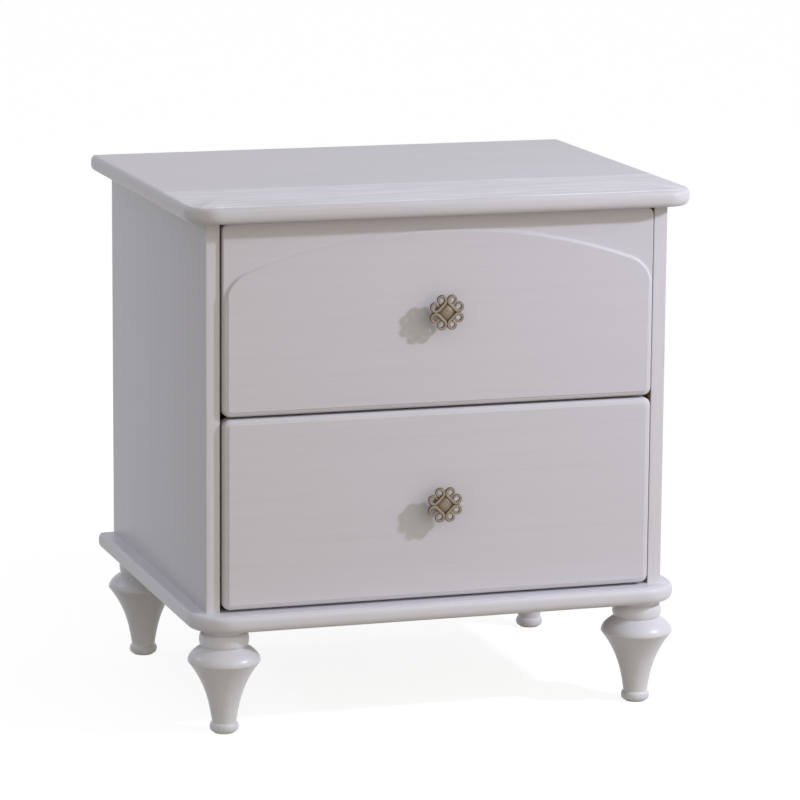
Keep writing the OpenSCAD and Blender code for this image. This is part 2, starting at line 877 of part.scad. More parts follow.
module lower_knob_screw() { knob_screw(lower_z); }

module lower_drawer_screws() { drawer_screws(lower_z); }

module lower_box_dowels() { box_dowels(lower_z); }

// ---- Nodes ---------------------------------------------------------------

top_board();
base_board();
left_side_panel();
right_side_panel();
back_panel();
front_top_rail();
rear_top_rail();
front_left_leg();
front_right_leg();
rear_left_leg();
rear_right_leg();
foot_glides();
hanger_bolts();
insert_nuts();
upper_left_cabinet_rail();
upper_right_cabinet_rail();
lower_left_cabinet_rail();
lower_right_cabinet_rail();
cabinet_rail_screws();
top_screws();
base_screws();
rail_dowels();
back_panel_screws();
upper_front();
upper_box_front();
upper_box_left();
upper_box_right();
upper_box_back();
upper_box_bottom();
upper_knob();
upper_knob_screw();
upper_drawer_screws();
upper_box_dowels();
upper_left_drawer_rail();
upper_right_drawer_rail();
upper_left_middle_rail();
upper_right_middle_rail();
upper_outer_cages();
upper_inner_cages();
upper_outer_balls();
upper_inner_balls();
lower_front();
lower_box_front();
lower_box_left();
lower_box_right();
lower_box_back();
lower_box_bottom();
lower_knob();
lower_knob_screw();
lower_drawer_screws();
lower_box_dowels();
lower_left_drawer_rail();
lower_right_drawer_rail();
lower_left_middle_rail();
lower_right_middle_rail();
lower_outer_cages();
lower_inner_cages();
lower_outer_balls();
lower_inner_balls();
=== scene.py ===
# %% [markdown]
# # A nightstand with two drawers
#
# The real piece is a white bedside cabinet: boards with rounded edges, an arched
# field on the upper drawer, scrollwork knobs and four turned legs. Its joinery,
# slides and screws come ready from the CAD frame. This notebook dresses that frame:
# it rebuilds the curved show surfaces as smooth meshes and gives everything a finish.
# The frame is loaded first, because the places and main sizes below are read from it.

# %% Load the frame
import math
import bmesh
import bpy
import numpy as np
from mathutils import Matrix, Vector


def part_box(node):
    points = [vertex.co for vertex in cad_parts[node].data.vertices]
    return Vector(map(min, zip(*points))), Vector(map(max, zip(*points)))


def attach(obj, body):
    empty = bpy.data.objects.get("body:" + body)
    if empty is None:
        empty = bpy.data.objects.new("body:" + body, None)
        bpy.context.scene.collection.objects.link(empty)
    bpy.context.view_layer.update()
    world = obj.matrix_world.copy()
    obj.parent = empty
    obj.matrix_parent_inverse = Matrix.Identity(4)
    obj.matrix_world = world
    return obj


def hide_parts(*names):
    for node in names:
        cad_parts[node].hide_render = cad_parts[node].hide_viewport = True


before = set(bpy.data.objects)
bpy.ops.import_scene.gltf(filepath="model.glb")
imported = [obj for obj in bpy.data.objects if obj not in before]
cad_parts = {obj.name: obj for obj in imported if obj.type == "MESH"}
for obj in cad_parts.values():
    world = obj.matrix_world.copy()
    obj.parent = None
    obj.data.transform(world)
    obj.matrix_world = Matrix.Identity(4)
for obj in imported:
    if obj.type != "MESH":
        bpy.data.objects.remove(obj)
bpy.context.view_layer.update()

# %% [markdown]
# ## Measures
#
# All lengths are in metres. `corner_pair` reads the lowest and highest corner of a
# CAD node, and the main planes of the cabinet follow from those corners. Sizes that
# no box can tell, such as the radius of a rounded corner, are given below by name,
# each in the cell that first needs it.

# %% Read the main planes of the cabinet
MM = 0.001


def corner_pair(node):
    """Lowest and highest corner of a CAD node, as two arrays."""
    low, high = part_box(node)
    return np.array(low), np.array(high)


side_low, side_high = corner_pair("right_side_panel")
front_plane = side_low[1]
back_plane = side_high[1]
half_width = side_high[0]
print(f"cabinet {2 * half_width:.3f} m wide, {back_plane - front_plane:.3f} m deep")

# %% [markdown]
# ## From numbers to a mesh
#
# Every show surface here is a grid: one direction runs round an outline or along a
# path, the other runs across it. The grid's points are worked out as whole arrays,
# and neighbouring points are joined into four-sided faces. Several grids can share
# one mesh: where their edges meet, the doubled points are welded. At the end the
# faces are turned outwards, and edges sharper than an angle stay crisp.

# %% Build meshes from grids of points


def grid_faces(rows, columns, start=0):
    """Quads of a rows by columns grid whose first point has number `start`: each
    joins point (i, j) with its neighbours (i+1, j), (i+1, j+1) and (i, j+1)."""
    i = np.arange(rows - 1)[:, None]
    j = np.arange(columns - 1)[None, :]
    here = start + i * columns + j
    return np.stack([here, here + columns, here + columns + 1, here + 1], -1).reshape(-1, 4)


def weld(mesh):
    """Joins points closer than a hundredth of a millimetre, so that seams and poles
    are closed, and makes every face look outwards."""
    work = bmesh.new()
    work.from_mesh(mesh)
    bmesh.ops.remove_doubles(work, verts=work.verts, dist=0.01 * MM)
    bmesh.ops.recalc_face_normals(work, faces=work.faces)
    work.to_mesh(mesh)
    work.free()
    mesh.update()


def make_piece(name, sheets, finish, body, sharp=40.0, lids=(), wear_and_shade=None):
    """Makes one welded mesh of several grids, each an array of rows by columns by 3.
    Lids are extra faces by point number. The wear and painted shade have one number per
    point, kept as an attribute that a material can read. The piece then rides on a body."""
    starts = np.cumsum([0] + [sheet.shape[0] * sheet.shape[1] for sheet in sheets])
    points = np.concatenate([sheet.reshape(-1, 3) for sheet in sheets])
    faces = np.concatenate([grid_faces(*sheet.shape[:2], start)
                            for sheet, start in zip(sheets, starts)])
    mesh = bpy.data.meshes.new(name)
    mesh.from_pydata(points.tolist(), [], faces.tolist() + [list(lid) for lid in lids])
    if wear_and_shade is not None:
        kept = mesh.attributes.new("wear_and_shade", "FLOAT", "POINT")
        kept.data.foreach_set("value", np.asarray(wear_and_shade, np.float32).ravel())
    weld(mesh)
    mesh.polygons.foreach_set("use_smooth", np.ones(len(mesh.polygons), bool))
    mesh.set_sharp_from_angle(angle=math.radians(sharp))
    piece = bpy.data.objects.new(name, mesh)
    bpy.context.scene.collection.objects.link(piece)
    mesh.materials.append(finish)
    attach(piece, body)
    return piece


print("mesh helpers ready")

# %% [markdown]
# ## Colours and nodes
#
# Colours are written as sRGB hex values, as a paint chart gives them, and one
# function turns them into the linear values that the shader counts in. One more
# function adds a shader node with its settings and its links.

# %% Colour and node helpers


def linear(code):
    """sRGB hex to linear RGBA: each channel c becomes ((c + 0.055) / 1.055) ** 2.4,
    or c / 12.92 where c is 0.04045 or less."""
    c = np.array([int(code[k:k + 2], 16) for k in (1, 3, 5)]) / 255
    c = np.where(c <= 0.04045, c / 12.92, ((c + 0.055) / 1.055) ** 2.4)
    return (*c.tolist(), 1.0)


def add(material, kind, settings=None, stops=(), **inputs):
    """Adds a node. `settings` are its own properties and `stops` a colour ramp's
    (position, hex) pairs. An input is a value, a socket, or a node whose first output
    is meant; its name has underscores for spaces, and numbered inputs are _0, _1."""
    made = material.node_tree.nodes.new(kind)
    for key, value in (settings or {}).items():
        setattr(made, key, value)
    for number, (position, code) in enumerate(stops):
        if number >= len(made.color_ramp.elements):
            made.color_ramp.elements.new(position)
        made.color_ramp.elements[number].position = position
        made.color_ramp.elements[number].color = linear(code)
    for key, value in inputs.items():
        socket = made.inputs[int(key[1:]) if key[0] == "_" else key.replace("_", " ")]
        value = value.outputs[0] if isinstance(value, bpy.types.Node) else value
        if isinstance(value, bpy.types.NodeSocket):
            material.node_tree.links.new(value, socket)
        else:
            socket.default_value = value
    return made


def new_finish(name):
    """A material whose node tree is still empty."""
    material = bpy.data.materials.new(name)
    material.use_nodes = True
    material.node_tree.nodes.clear()
    return material


print("middle grey is", [round(v, 3) for v in linear("#808080")[:3]])

# %% [markdown]
# ## Open-pore white paint
#
# The boards are veneered with an open-grained wood under thin satin paint. The paint
# doesn't fill the pores, so the grain stays readable as fine long lines that catch or
# lose the light. A real pore is about 0.2 mm wide and 5 to 30 mm long, too fine to
# show, so it is drawn about 0.9 mm wide. Noise stretched along the grain gives the
# lines, a slower noise gives the soft bands of early and late wood, and the lines
# also drive a very shallow bump. The grain runs along the longer side of a board, so
# the function is told which axis that is, and turns the pattern onto it.
#
# The top's front strip has long pale flames: `strip` gives the depth Y where it sets in
# and the level of the top. End grain is filled before it is painted, so towards `filled`,
# counted from the middle, the grain fades. Inside the cabinet nobody paints: nearer the
# middle than a given line, and behind the front edge, a side panel is left as plain wood,
# whose darker tone also paints shade into the gaps beside the drawers. The front edge
# itself gets a lighter copy of the paint in its own tones: painted light.

# %% Noise along the grain
TURN_TO_X = {"x": (0.0, 0.0, 0.0), "y": (0.0, 0.0, math.pi / 2), "z": (0.0, math.pi / 2, 0.0)}


def stretched_noise(material, grain, length, width, **settings):
    """Noise whose spots are about `length` long along the grain and `width` across."""
    place = add(material, "ShaderNodeMapping", Vector=grain,
                Scale=(1 / length, 1 / width, 1 / width))
    return add(material, "ShaderNodeTexNoise", Vector=place, Scale=1.0, **settings)


print("grain directions:", ", ".join(TURN_TO_X))

# %% Open-pore paint
STRIP_DEPTH = 101 * MM   # depth of the top's front strip
FILLED_RIM = 8 * MM      # filled end grain, from the side edge inwards
FILLED_FADE = 12 * MM    # width over which the grain fades towards it
PAINT = "#D8D5DA"
PAINT_IN_PORE = "#C6C2C5"
PAINT_ON_CREST = "#E3E1E7"
# plain wood inside the side panels; its dark tone also paints shade into the gaps beside the
# drawers
BARE_WOOD_GAP_SHADE = "#A58F72"
TONE_STOPS = (0.15, 0.5, 0.95)


def flames_in_strip(finish, grain, place, strip, colour):
    """Pale flames instead of the colour, in front of the depth strip[0] on the face at
    the level strip[1]. The borders fade over 2 mm in depth and 0.8 mm in height."""
    flames = stretched_noise(finish, grain, 110 * MM, 5 * MM, Detail=4.0, Roughness=0.62,
                             Distortion=0.5)
    flame_colour = add(finish, "ShaderNodeValToRGB", stops=[
        (0.36, PAINT), (0.5, "#E4E2E8"), (0.64, "#F5F4F9")], _0=flames)
    near = add(finish, "ShaderNodeMapRange", Value=place.outputs[1], From_Min=strip[0] - MM,
               From_Max=strip[0] + MM, To_Min=1.0, To_Max=0.0)
    level = add(finish, "ShaderNodeMapRange", Value=place.outputs[2],
                From_Min=strip[1] - 1.2 * MM, From_Max=strip[1] - 0.4 * MM)
    share = add(finish, "ShaderNodeMath", {"operation": "MULTIPLY"}, _0=near, _1=level)
    return add(finish, "ShaderNodeMix", {"data_type": "RGBA"}, Factor=share,
               _6=colour, _7=flame_colour).outputs[2]


def lit_edge_and_shaded_bare(finish, place, sideways, tone, lit_edge_tones, bare_shaded_from, colour):
    """The front edge takes a lighter copy of the paint, painted light, and behind it
    everything nearer the middle than the given line is plain wood, whose darker tone
    also paints shade into the gaps beside the drawers."""
    inward = add(finish, "ShaderNodeMapRange", Value=sideways, From_Min=bare_shaded_from,
                 From_Max=bare_shaded_from + 0.2 * MM, To_Min=1.0, To_Max=0.0)
    behind = add(finish, "ShaderNodeMapRange", Value=place.outputs[1],
                 From_Min=front_plane + 0.8 * MM, From_Max=front_plane + 1.6 * MM)
    # lighter copy of the paint on the front edge: painted light
    lit_edge_colour = add(finish, "ShaderNodeValToRGB", stops=zip(TONE_STOPS, lit_edge_tones), _0=tone)
    colour = add(finish, "ShaderNodeMix", {"data_type": "RGBA"}, Factor=behind,
                 _6=lit_edge_colour, _7=colour).outputs[2]
    # plain wood inside, darker, which also paints shade into the gaps beside the drawers
    share = add(finish, "ShaderNodeMath", {"operation": "MULTIPLY"}, _0=inward, _1=behind)
    return add(finish, "ShaderNodeMix", {"data_type": "RGBA"}, Factor=share,
               _6=colour, _7=linear(BARE_WOOD_GAP_SHADE)).outputs[2]


def open_pore_paint(name, axis, strength=1.0, shift=(0.0, 0.0, 0.0), strip=None,
                    filled=None, bare_shaded_from=None, lit_edge_tones=None,
                    tones=(PAINT_IN_PORE, PAINT, PAINT_ON_CREST)):
    """Satin paint over open pores. Tone is 0.5 plus strength times the fine lines and
    the slow bands, each counted from its own middle; a ramp turns tone into colour."""
    finish = new_finish(name)
    where = add(finish, "ShaderNodeTexCoord").outputs["Object"]
    place = add(finish, "ShaderNodeSeparateXYZ", _0=where)
    sideways = add(finish, "ShaderNodeMath", {"operation": "ABSOLUTE"}, _0=place.outputs[0])
    grain = add(finish, "ShaderNodeMapping", Vector=where, Rotation=TURN_TO_X[axis],
                Location=shift)
    fine = stretched_noise(finish, grain, 60 * MM, 0.9 * MM, Detail=2.0)
    bands = stretched_noise(finish, grain, 300 * MM, 7 * MM, Detail=3.0)
    if filled:
        kept = add(finish, "ShaderNodeMapRange", Value=sideways, From_Min=filled - FILLED_FADE,
                   From_Max=filled, To_Min=1.0, To_Max=0.2)
        fine, bands = (add(finish, "ShaderNodeMix", {"data_type": "FLOAT"}, Factor=kept,
                           _2=0.5, _3=noise) for noise in (fine, bands))
    lines = add(finish, "ShaderNodeMath", {"operation": "MULTIPLY_ADD"}, _0=fine,
                _1=0.9 * strength, _2=0.5 - 0.8 * strength)
    tone = add(finish, "ShaderNodeMath", {"operation": "MULTIPLY_ADD"}, _0=bands,
               _1=0.7 * strength, _2=lines)
    colour = add(finish, "ShaderNodeValToRGB", stops=zip(TONE_STOPS, tones), _0=tone)
    if strip:
        colour = flames_in_strip(finish, grain, place, strip, colour)
    if bare_shaded_from:
        colour = lit_edge_and_shaded_bare(finish, place, sideways, tone, lit_edge_tones, bare_shaded_from, colour)
    bump = add(finish, "ShaderNodeBump", Height=fine, Strength=0.35 * strength,
               Distance=0.12 * MM)
    rough = add(finish, "ShaderNodeMapRange", Value=fine, From_Min=0.3, From_Max=0.7,
                To_Min=0.34, To_Max=0.42)
    coat = add(finish, "ShaderNodeBsdfPrincipled", Base_Color=colour, Roughness=rough,
               IOR=1.5, Specular_IOR_Level=0.25, Normal=bump)
    add(finish, "ShaderNodeOutputMaterial", Surface=coat)
    return finish


top_high = corner_pair("top_board")[1]
base_high = corner_pair("base_board")[1]
paint_top = open_pore_paint("open_pore_paint_top", "x", 0.5, filled=top_high[0] - FILLED_RIM,
                            strip=(front_plane + STRIP_DEPTH, top_high[2]))
# The base gets a lighter copy of the paint: painted light, for the brighter light on the lower part
# of the cabinet.
paint_level = open_pore_paint("open_pore_paint_base", "x", 0.25, (0.2, 0.1, 0.4),
                              filled=base_high[0] - FILLED_RIM,
                              tones=("#CFCCD2", "#E1DFE6", "#ECEAF1"))
# The fronts get a slightly bluer copy of the paint: the cool tint of the key light, painted in.
paint_front = open_pore_paint("open_pore_paint_fronts", "x", 0.2, (0.31, 0.0, 0.17),
                              tones=("#C6C2C8", "#D8D5DC", "#E3E1EA"))
# The sides get a darker copy of the paint: painted shade on the side away from the key light. Their
# front edges get a lighter copy: painted light.
paint_upright = open_pore_paint("open_pore_paint_sides", "z", 0.3, bare_shaded_from=side_low[0] + 0.1 * MM,
                                lit_edge_tones=("#C6C3C8", "#DEDBE1", "#EAE7EE"),
                                tones=("#BDBABF", "#D0CED5", "#DBDAE2"))
print("paints:", paint_top.name, paint_level.name, paint_front.name, paint_upright.name)

# %% [markdown]
# ## Top board and base board
#
# The top and the base are solid boards with a full rounded edge, called a bullnose.
# It runs up the left side, round two corners, along the front and back down the right
# side; the rear edge is cut square to stand against a wall. The cutter turns tighter
# above than below, and along the front it leaves a thin step where it enters the flat
# face. A bevel modifier on a box could round it, but carrying one section round a
# U-shaped outline keeps the step, and keeps the section exact in the corners too. The
# flat faces are filled by straight lines from the edge to one point in the middle of
# the rear edge.

# %% Round the edge of the two boards
TOP_CORNER = 33 * MM     # radius of the top's front corners, seen from above
BASE_CORNER = 44 * MM    # the same for the base
NOSE_DEPTH = 6.5 * MM    # how far in the rounding begins
NOSE_STEP = 0.6 * MM     # height of the cutter's step along the front
STEP_RUN = 0.2 * MM      # how far the step leans back
POWER_ABOVE = 2.8        # of the superellipse above the middle of the edge
POWER_BELOW = 2.1        # and below it


def u_outline(half, front, back, corner, steps=16, spacing=12 * MM):
    """Points and outward normals of a U: up one side, round the front corners and
    back down the other side. Straight stretches are split about every `spacing`."""
    side = np.linspace(back, front + corner, int((back - front) / spacing))
    turn = np.linspace(0, math.pi / 2, steps)[1:-1]
    across = np.linspace(corner - half, half - corner, int(2 * half / spacing))
    ones, none = np.ones_like, np.zeros_like
    nx = np.concatenate([-ones(side), -np.cos(turn), none(across), np.sin(turn), ones(side)])
    ny = np.concatenate([none(side), -np.sin(turn), -ones(across), -np.cos(turn), none(side)])
    x = np.concatenate([-half * ones(side), corner - half - corner * np.cos(turn), across,
                        half - corner + corner * np.sin(turn), half * ones(side)])
    y = np.concatenate([side, front + corner - corner * np.sin(turn), front * ones(across),
                        front + corner - corner * np.cos(turn), side[::-1]])
    return np.stack([x, y], 1), np.stack([nx, ny], 1)


def rounded_board(name, node, corner, finish):
    """Rounded section carried round the U. It is a superellipse: with u the share of
    the nose's depth and v the share of its half height, u^n + v^n = 1, where n is
    POWER_ABOVE or POWER_BELOW. Along the front a step of NOSE_STEP leads up to the flat
    face; round the corners it runs out, and the sides have none."""
    low, high = corner_pair(node)
    r = (high[2] - low[2]) / 2
    outline, normal = u_outline(high[0], low[1], high[1], corner)
    angle = np.linspace(-math.pi / 2, math.pi / 2, 33)
    power = 2 / np.where(angle > 0, POWER_ABOVE, POWER_BELOW)
    inset = NOSE_DEPTH * (1 - np.cos(angle).clip(0) ** power)
    step = NOSE_STEP * np.clip(-normal[:, 1:], 0, 1) ** 2
    rise = (r - step * (angle > 0)) * np.sign(angle) * np.abs(np.sin(angle)) ** power
    inset = np.append(inset, NOSE_DEPTH + STEP_RUN)
    edge = outline[:, None] - inset[:, None] * normal[:, None]
    edge[[0, -1], :, 1] = high[1]
    height = np.append(low[2] + r + rise, np.full_like(step, high[2]), 1)
    middle = np.array([0.0, high[1]])
    share = np.linspace(0, 1, 9)[:-1, None]
    below = middle + share * (edge[:, :1] - middle)
    above = middle + share[::-1] * (edge[:, -1:] - middle)
    plan = np.concatenate([below, edge, above], 1)
    level = np.concatenate([np.full(below.shape[:2], low[2]), height,
                            np.full(above.shape[:2], high[2])], 1)
    sheet = np.concatenate([plan, level[..., None]], -1)
    rows, columns = sheet.shape[:2]
    rear = list(range(columns)) + [(rows - 1) * columns + k for k in range(columns - 2, 0, -1)]
    board = make_piece(name, [sheet], finish, "cabinet", 50, [rear])
    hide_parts(node)
    return board


top = rounded_board("top_board_shaped", "top_board", TOP_CORNER, paint_top)
base = rounded_board("base_board_shaped", "base_board", BASE_CORNER, paint_level)
print("boards:", [(o.name, len(o.data.polygons)) for o in (top, base)])

# %% [markdown]
# ## Side panels
#
# Each side is one upright board. Its front edge shows beside the drawers, and a
# rebate in its rear edge takes the back panel. A sanded and painted board has no
# truly sharp corner, so the section is an L whose corners are eased by just under a
# millimetre, carried from the base up to the top. The eased corner draws the thin
# bright line that tells the eye where two painted faces meet.

# %% Side panels with eased corners
EASING = 0.8 * MM        # radius of an eased corner
REBATE_WIDTH = 8 * MM    # of the rebate, across the panel's thickness
REBATE_DEPTH = 5 * MM    # as deep as the back panel is thick


def eased_outline(corners, r, steps=6):
    """Outline through right-angled corners, each replaced by an arc of radius r about
    the point r inside both of its sides. Inner corners stay sharp."""
    corners = np.asarray(corners, float)
    before = np.roll(corners, 1, 0) - corners
    after = np.roll(corners, -1, 0) - corners
    before /= np.linalg.norm(before, axis=1)[:, None]
    after /= np.linalg.norm(after, axis=1)[:, None]
    outer = (before[:, 0] * after[:, 1] - before[:, 1] * after[:, 0]) < 0
    t = np.linspace(0, math.pi / 2, steps)[None, :, None]
    size = np.where(outer, r, 0.0)[:, None, None]
    arc = size * (before[:, None] * (1 - np.sin(t)) + after[:, None] * (1 - np.cos(t)))
    return (corners[:, None] + arc).reshape(-1, 2)


def side_board(name, node, sign):
    """L-shaped section in plan, mirrored by sign, carried straight up."""
    low, high = corner_pair(node)
    inner, outer = min(abs(low[0]), abs(high[0])), max(abs(low[0]), abs(high[0]))
    y0, y1 = low[1], high[1]
    section = eased_outline([
        (inner, y0), (outer, y0), (outer, y1), (inner + REBATE_WIDTH, y1),
        (inner + REBATE_WIDTH, y1 - REBATE_DEPTH), (inner, y1 - REBATE_DEPTH)], EASING)
    section = np.concatenate([section, section[:1]]) * (sign, 1)
    z = np.linspace(low[2], high[2], 30)
    sheet = np.concatenate([np.broadcast_to(section[:, None], (len(section), z.size, 2)),
                            np.broadcast_to(z[None, :, None], (len(section), z.size, 1))], -1)
    ring = np.arange(len(section) - 1) * z.size
    board = make_piece(name, [sheet], paint_upright, "cabinet", 35,
                       [ring.tolist(), (ring + z.size - 1).tolist()])
    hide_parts(node)
    return board


sides = [side_board("left_side_board", "left_side_panel", -1),
         side_board("right_side_board", "right_side_panel", 1)]
print("sides:", [len(o.data.polygons) for o in sides])

# %% [markdown]
# ## Drawer fronts
#
# Both fronts are 18 mm boards with a rounded-over edge. The upper one carries the
# piece's ornament: a raised field under one wide arch whose two shoulders turn down
# into the sides, with the wood outside it 3 mm lower and a soft slope between. On the
# real one a shaped cutter runs along the arch. Here the front is a height over its
# plane: the lower of the rounded board and the field, blended over about a
# millimetre as paint does. The grid's rows bend with the arch, so that its slope
# falls between rows and stays smooth. The front's corners are rounded with 8.5 mm, and
# a step of half a millimetre marks where the round-over begins.

# %% Shape of the arch and of the edge
EDGE = 5 * MM            # radius of the round-over
CORNER = 8.5 * MM        # radius of the corners, seen from the front
SNUG = 0.5 * MM          # how far each end of a front reaches into the gap beside it
QUIRK = 0.5 * MM         # height of the step where the round-over begins
QUIRK_RUN = 0.3 * MM     # how far that step leans
STEP = 3 * MM            # height of the raised field
SLOPE = 4.4 * MM         # width of the slope round it
BLEND = 1.2 * MM         # width over which paint rounds a hollow corner
ARCH_R = 618 * MM        # radius of the wide arch
SHOULDER_R = 35.5 * MM   # radius of its shoulders
ARCH_DROP = 15.2 * MM    # from the front's upper edge down to the arch
FIELD_MARGIN = 2 * MM    # from the front's end to the shoulder
SIDE_LEAN = 0.12         # how much the field's side leans outwards below the shoulder

front_low, front_high = corner_pair("upper_front")
half_front = front_high[0] + SNUG
front_height = front_high[2] - front_low[2]
front_depth = front_high[1] - front_low[1]
arch_level = front_height - ARCH_DROP - ARCH_R
shoulder_x = half_front - FIELD_MARGIN - SHOULDER_R
shoulder_turn = math.asin(shoulder_x / (ARCH_R - SHOULDER_R))
shoulder_level = arch_level + (ARCH_R - SHOULDER_R) * math.cos(shoulder_turn)


def beyond_arch(x, z):
    """Distance outside the field: from the wide arc over the middle, from the
    shoulder's arc beside it, and from a side that leans outwards below it."""
    x = np.abs(x)
    wide = np.hypot(x, z - arch_level) - ARCH_R
    shoulder = np.hypot(x - shoulder_x, z - shoulder_level) - SHOULDER_R
    side = x - shoulder_x - SHOULDER_R - SIDE_LEAN * (shoulder_level - z)
    over_shoulder = x * math.cos(shoulder_turn) > (z - arch_level) * math.sin(shoulder_turn)
    return np.where(z < shoulder_level, side, np.where(over_shoulder, shoulder, wide))


def arch_height(x):
    """Height of the arch's line over the front's lower edge, for each x."""
    x = np.minimum(np.abs(x), shoulder_x + SHOULDER_R)
    wide = arch_level + np.sqrt(ARCH_R ** 2 - x ** 2)
    shoulder = shoulder_level + np.sqrt(np.maximum(SHOULDER_R ** 2 - (x - shoulder_x) ** 2, 0))
    return np.where(x < ARCH_R * math.sin(shoulder_turn), wide, shoulder)


def thickness(x, z, arched):
    """Smooth minimum of the board's round-over, a quarter circle with the step QUIRK
    before it, and of the field, which falls by STEP. Where the two heights differ by
    less than k, which is BLEND, h = (k - difference) / k and the result is
    h * h * k / 4 lower."""
    inside = np.minimum(half_front - np.abs(x), np.minimum(z, front_height - z))
    corner_x = np.abs(x) - (half_front - CORNER)
    corner_z = np.maximum(CORNER - z, z - (front_height - CORNER))
    round_corner = (corner_x > 0) & (corner_z > 0)
    inside = np.where(round_corner, CORNER - np.hypot(corner_x, corner_z), inside)
    drop = np.maximum(EDGE - inside, 0)
    board = front_depth - EDGE + np.sqrt(np.maximum(EDGE ** 2 - drop ** 2, 0))
    board = board - QUIRK * np.clip(drop / QUIRK_RUN, 0, 1)
    if not arched:
        return board
    t = np.clip(0.5 - beyond_arch(x, z) / SLOPE, 0, 1)
    field = front_depth - STEP + (STEP + BLEND) * t * t * (3 - 2 * t)
    h = np.maximum(BLEND - np.abs(board - field), 0) / BLEND
    return np.minimum(board, field) - h * h * BLEND / 4


print(f"arch {ARCH_R:.3f} m in radius, shoulders {shoulder_level:.3f} m up")

# %% [markdown]
# The inside of a front is one grid between the lines where the round-over ends. A
# strip of rings goes round it, from those lines out to the edge, down the side wall
# and to the flat back, whose single face closes the board. Points are spent where the
# surface turns: columns crowd at the shoulders, rows at the arch's line and the ends.

# %% Grid inside the round-over, and the strip round it


def inner_grid(arched):
    """Points x, z of the grid. Each column holds three runs of rows: up to the arch's
    band, through the band, and on to the top. Each half of the band is 0.62 of the
    slope, wider where the line is steep, by sqrt(1 + slant^2), and at most 9 mm."""
    reach_x, reach_z = half_front - EDGE, front_height - EDGE
    u = np.linspace(-1, 1, 281 if arched else 161)
    x = reach_x * (0.72 * u + 0.28 * np.sin(u * math.pi / 2))
    line = arch_height(x) if arched else np.full_like(x, 0.5 * front_height)
    slant = np.gradient(line, x)
    band = np.minimum(0.62 * SLOPE * np.hypot(1, slant), 9 * MM)
    even = np.linspace(0, 1, 31)
    crowded = even - 0.8 * np.sin(2 * math.pi * even) / (2 * math.pi)
    row_low = EDGE + crowded[None, :-1] * (line - band - EDGE)[:, None]
    row_band = line[:, None] + band[:, None] * np.linspace(-1, 1, 15)[None]
    row_high = (line + band)[:, None] + crowded[None, 2::2] * (reach_z - line - band)[:, None]
    z = np.concatenate([row_low, row_band, row_high], 1)
    return np.stack([np.broadcast_to(x[:, None], z.shape), z], -1)


def rim_of(grid):
    """The grid's border as a path, and its outward normals. At each corner the path
    stands still while the normal n turns by a right angle."""
    turn = np.linspace(0, math.pi / 2, 8)
    path, normal = [], []
    for stretch, (nx, nz) in ((grid[:, 0], (0, -1)), (grid[-1], (1, 0)),
                              (grid[::-1, -1], (0, 1)), (grid[0, ::-1], (-1, 0))):
        path += [stretch, np.repeat(stretch[-1:], turn.size, 0)]
        normal += [np.tile((float(nx), float(nz)), (len(stretch), 1)),
                   np.stack([nx * np.cos(turn) - nz * np.sin(turn),
                             nz * np.cos(turn) + nx * np.sin(turn)], 1)]
    return np.concatenate(path), np.concatenate(normal)


def edge_strip(grid, arched):
    """Points x, z of the strip and their heights. From each rim point p it goes along
    the normal n to the outline; in a corner, with d from the arc's centre to p, that
    is sqrt((d.n)^2 - d^2 + r^2) - d.n. Then it runs down the wall to the back."""
    path, normal = rim_of(grid)
    off = path - np.stack([np.sign(path[:, 0]) * (half_front - CORNER),
                           path[:, 1].clip(CORNER, front_height - CORNER)], 1)
    in_corner = (np.abs(path[:, 0]) > half_front - CORNER) & (off[:, 1] != 0)
    along = (off * normal).sum(1)
    arc = np.sqrt(np.maximum(along ** 2 - (off ** 2).sum(1) + CORNER ** 2, 0)) - along
    reach = np.where(in_corner, arc, EDGE)
    ring = np.concatenate([[0, 0.03, 0.06], np.cos(np.linspace(math.pi / 2, 0, 15))[1:]])
    flat = path[:, None] + (reach[:, None] * ring)[..., None] * normal[:, None]
    tall = thickness(flat[..., 0], flat[..., 1], arched)
    wall = tall[:, -1:] * np.array([0.66, 0.33, 0.0])
    return np.concatenate([flat, np.repeat(flat[:, -1:], 3, 1)], 1), np.concatenate([tall, wall], 1)


# %% Build the two drawer fronts


def drawer_front(name, node, arched):
    """Both sheets stood upright at the node, and the back as one face."""
    low, high = corner_pair(node)
    grid = inner_grid(arched)
    flat, tall = edge_strip(grid, arched)
    strip = np.stack([flat[..., 0], high[1] - tall, low[2] + flat[..., 1]], -1)
    inner = np.stack([grid[..., 0], high[1] - thickness(grid[..., 0], grid[..., 1], arched),
                      low[2] + grid[..., 1]], -1)
    strip = np.concatenate([strip, strip[:1]])
    first = inner.shape[0] * inner.shape[1]
    lid = (first + np.arange(len(strip) - 1) * strip.shape[1] + strip.shape[1] - 1).tolist()
    front = make_piece(name, [inner, strip], paint_front, node.replace("front", "drawer"),
                       60, [lid])
    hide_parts(node)
    return front


fronts = [drawer_front("upper_front_arched", "upper_front", True),
          drawer_front("lower_front_plain", "lower_front", False)]
print("fronts:", [len(o.data.polygons) for o in fronts])

# %% [markdown]
# ## Turned legs
#
# Each leg comes off a lathe: a foot ring, a taper that flares more and more up to a
# sharp crease, a bulb, a bead and a short collar under the base. Turning is the same
# in numbers: one profile of radius against height goes round the leg's axis. The
# foot and the bead are half ellipses and the bulb is a parabola. Sanding softens the
# crease a little, which a short average along the profile copies. The paint on a
# turned leg is smoother than on the boards, because end grain is filled first.

# %% Smooth paint for the legs
paint_turned = new_finish("smooth_satin_paint_turned")
turned_place = add(paint_turned, "ShaderNodeTexCoord").outputs["Object"]
turned_mapping = add(paint_turned, "ShaderNodeMapping", Vector=turned_place,
                     Scale=(1 / (3 * MM), 1 / (3 * MM), 1 / (30 * MM)))
turned_grain = add(paint_turned, "ShaderNodeTexNoise", Vector=turned_mapping, Scale=1.0,
                   Detail=2.0)
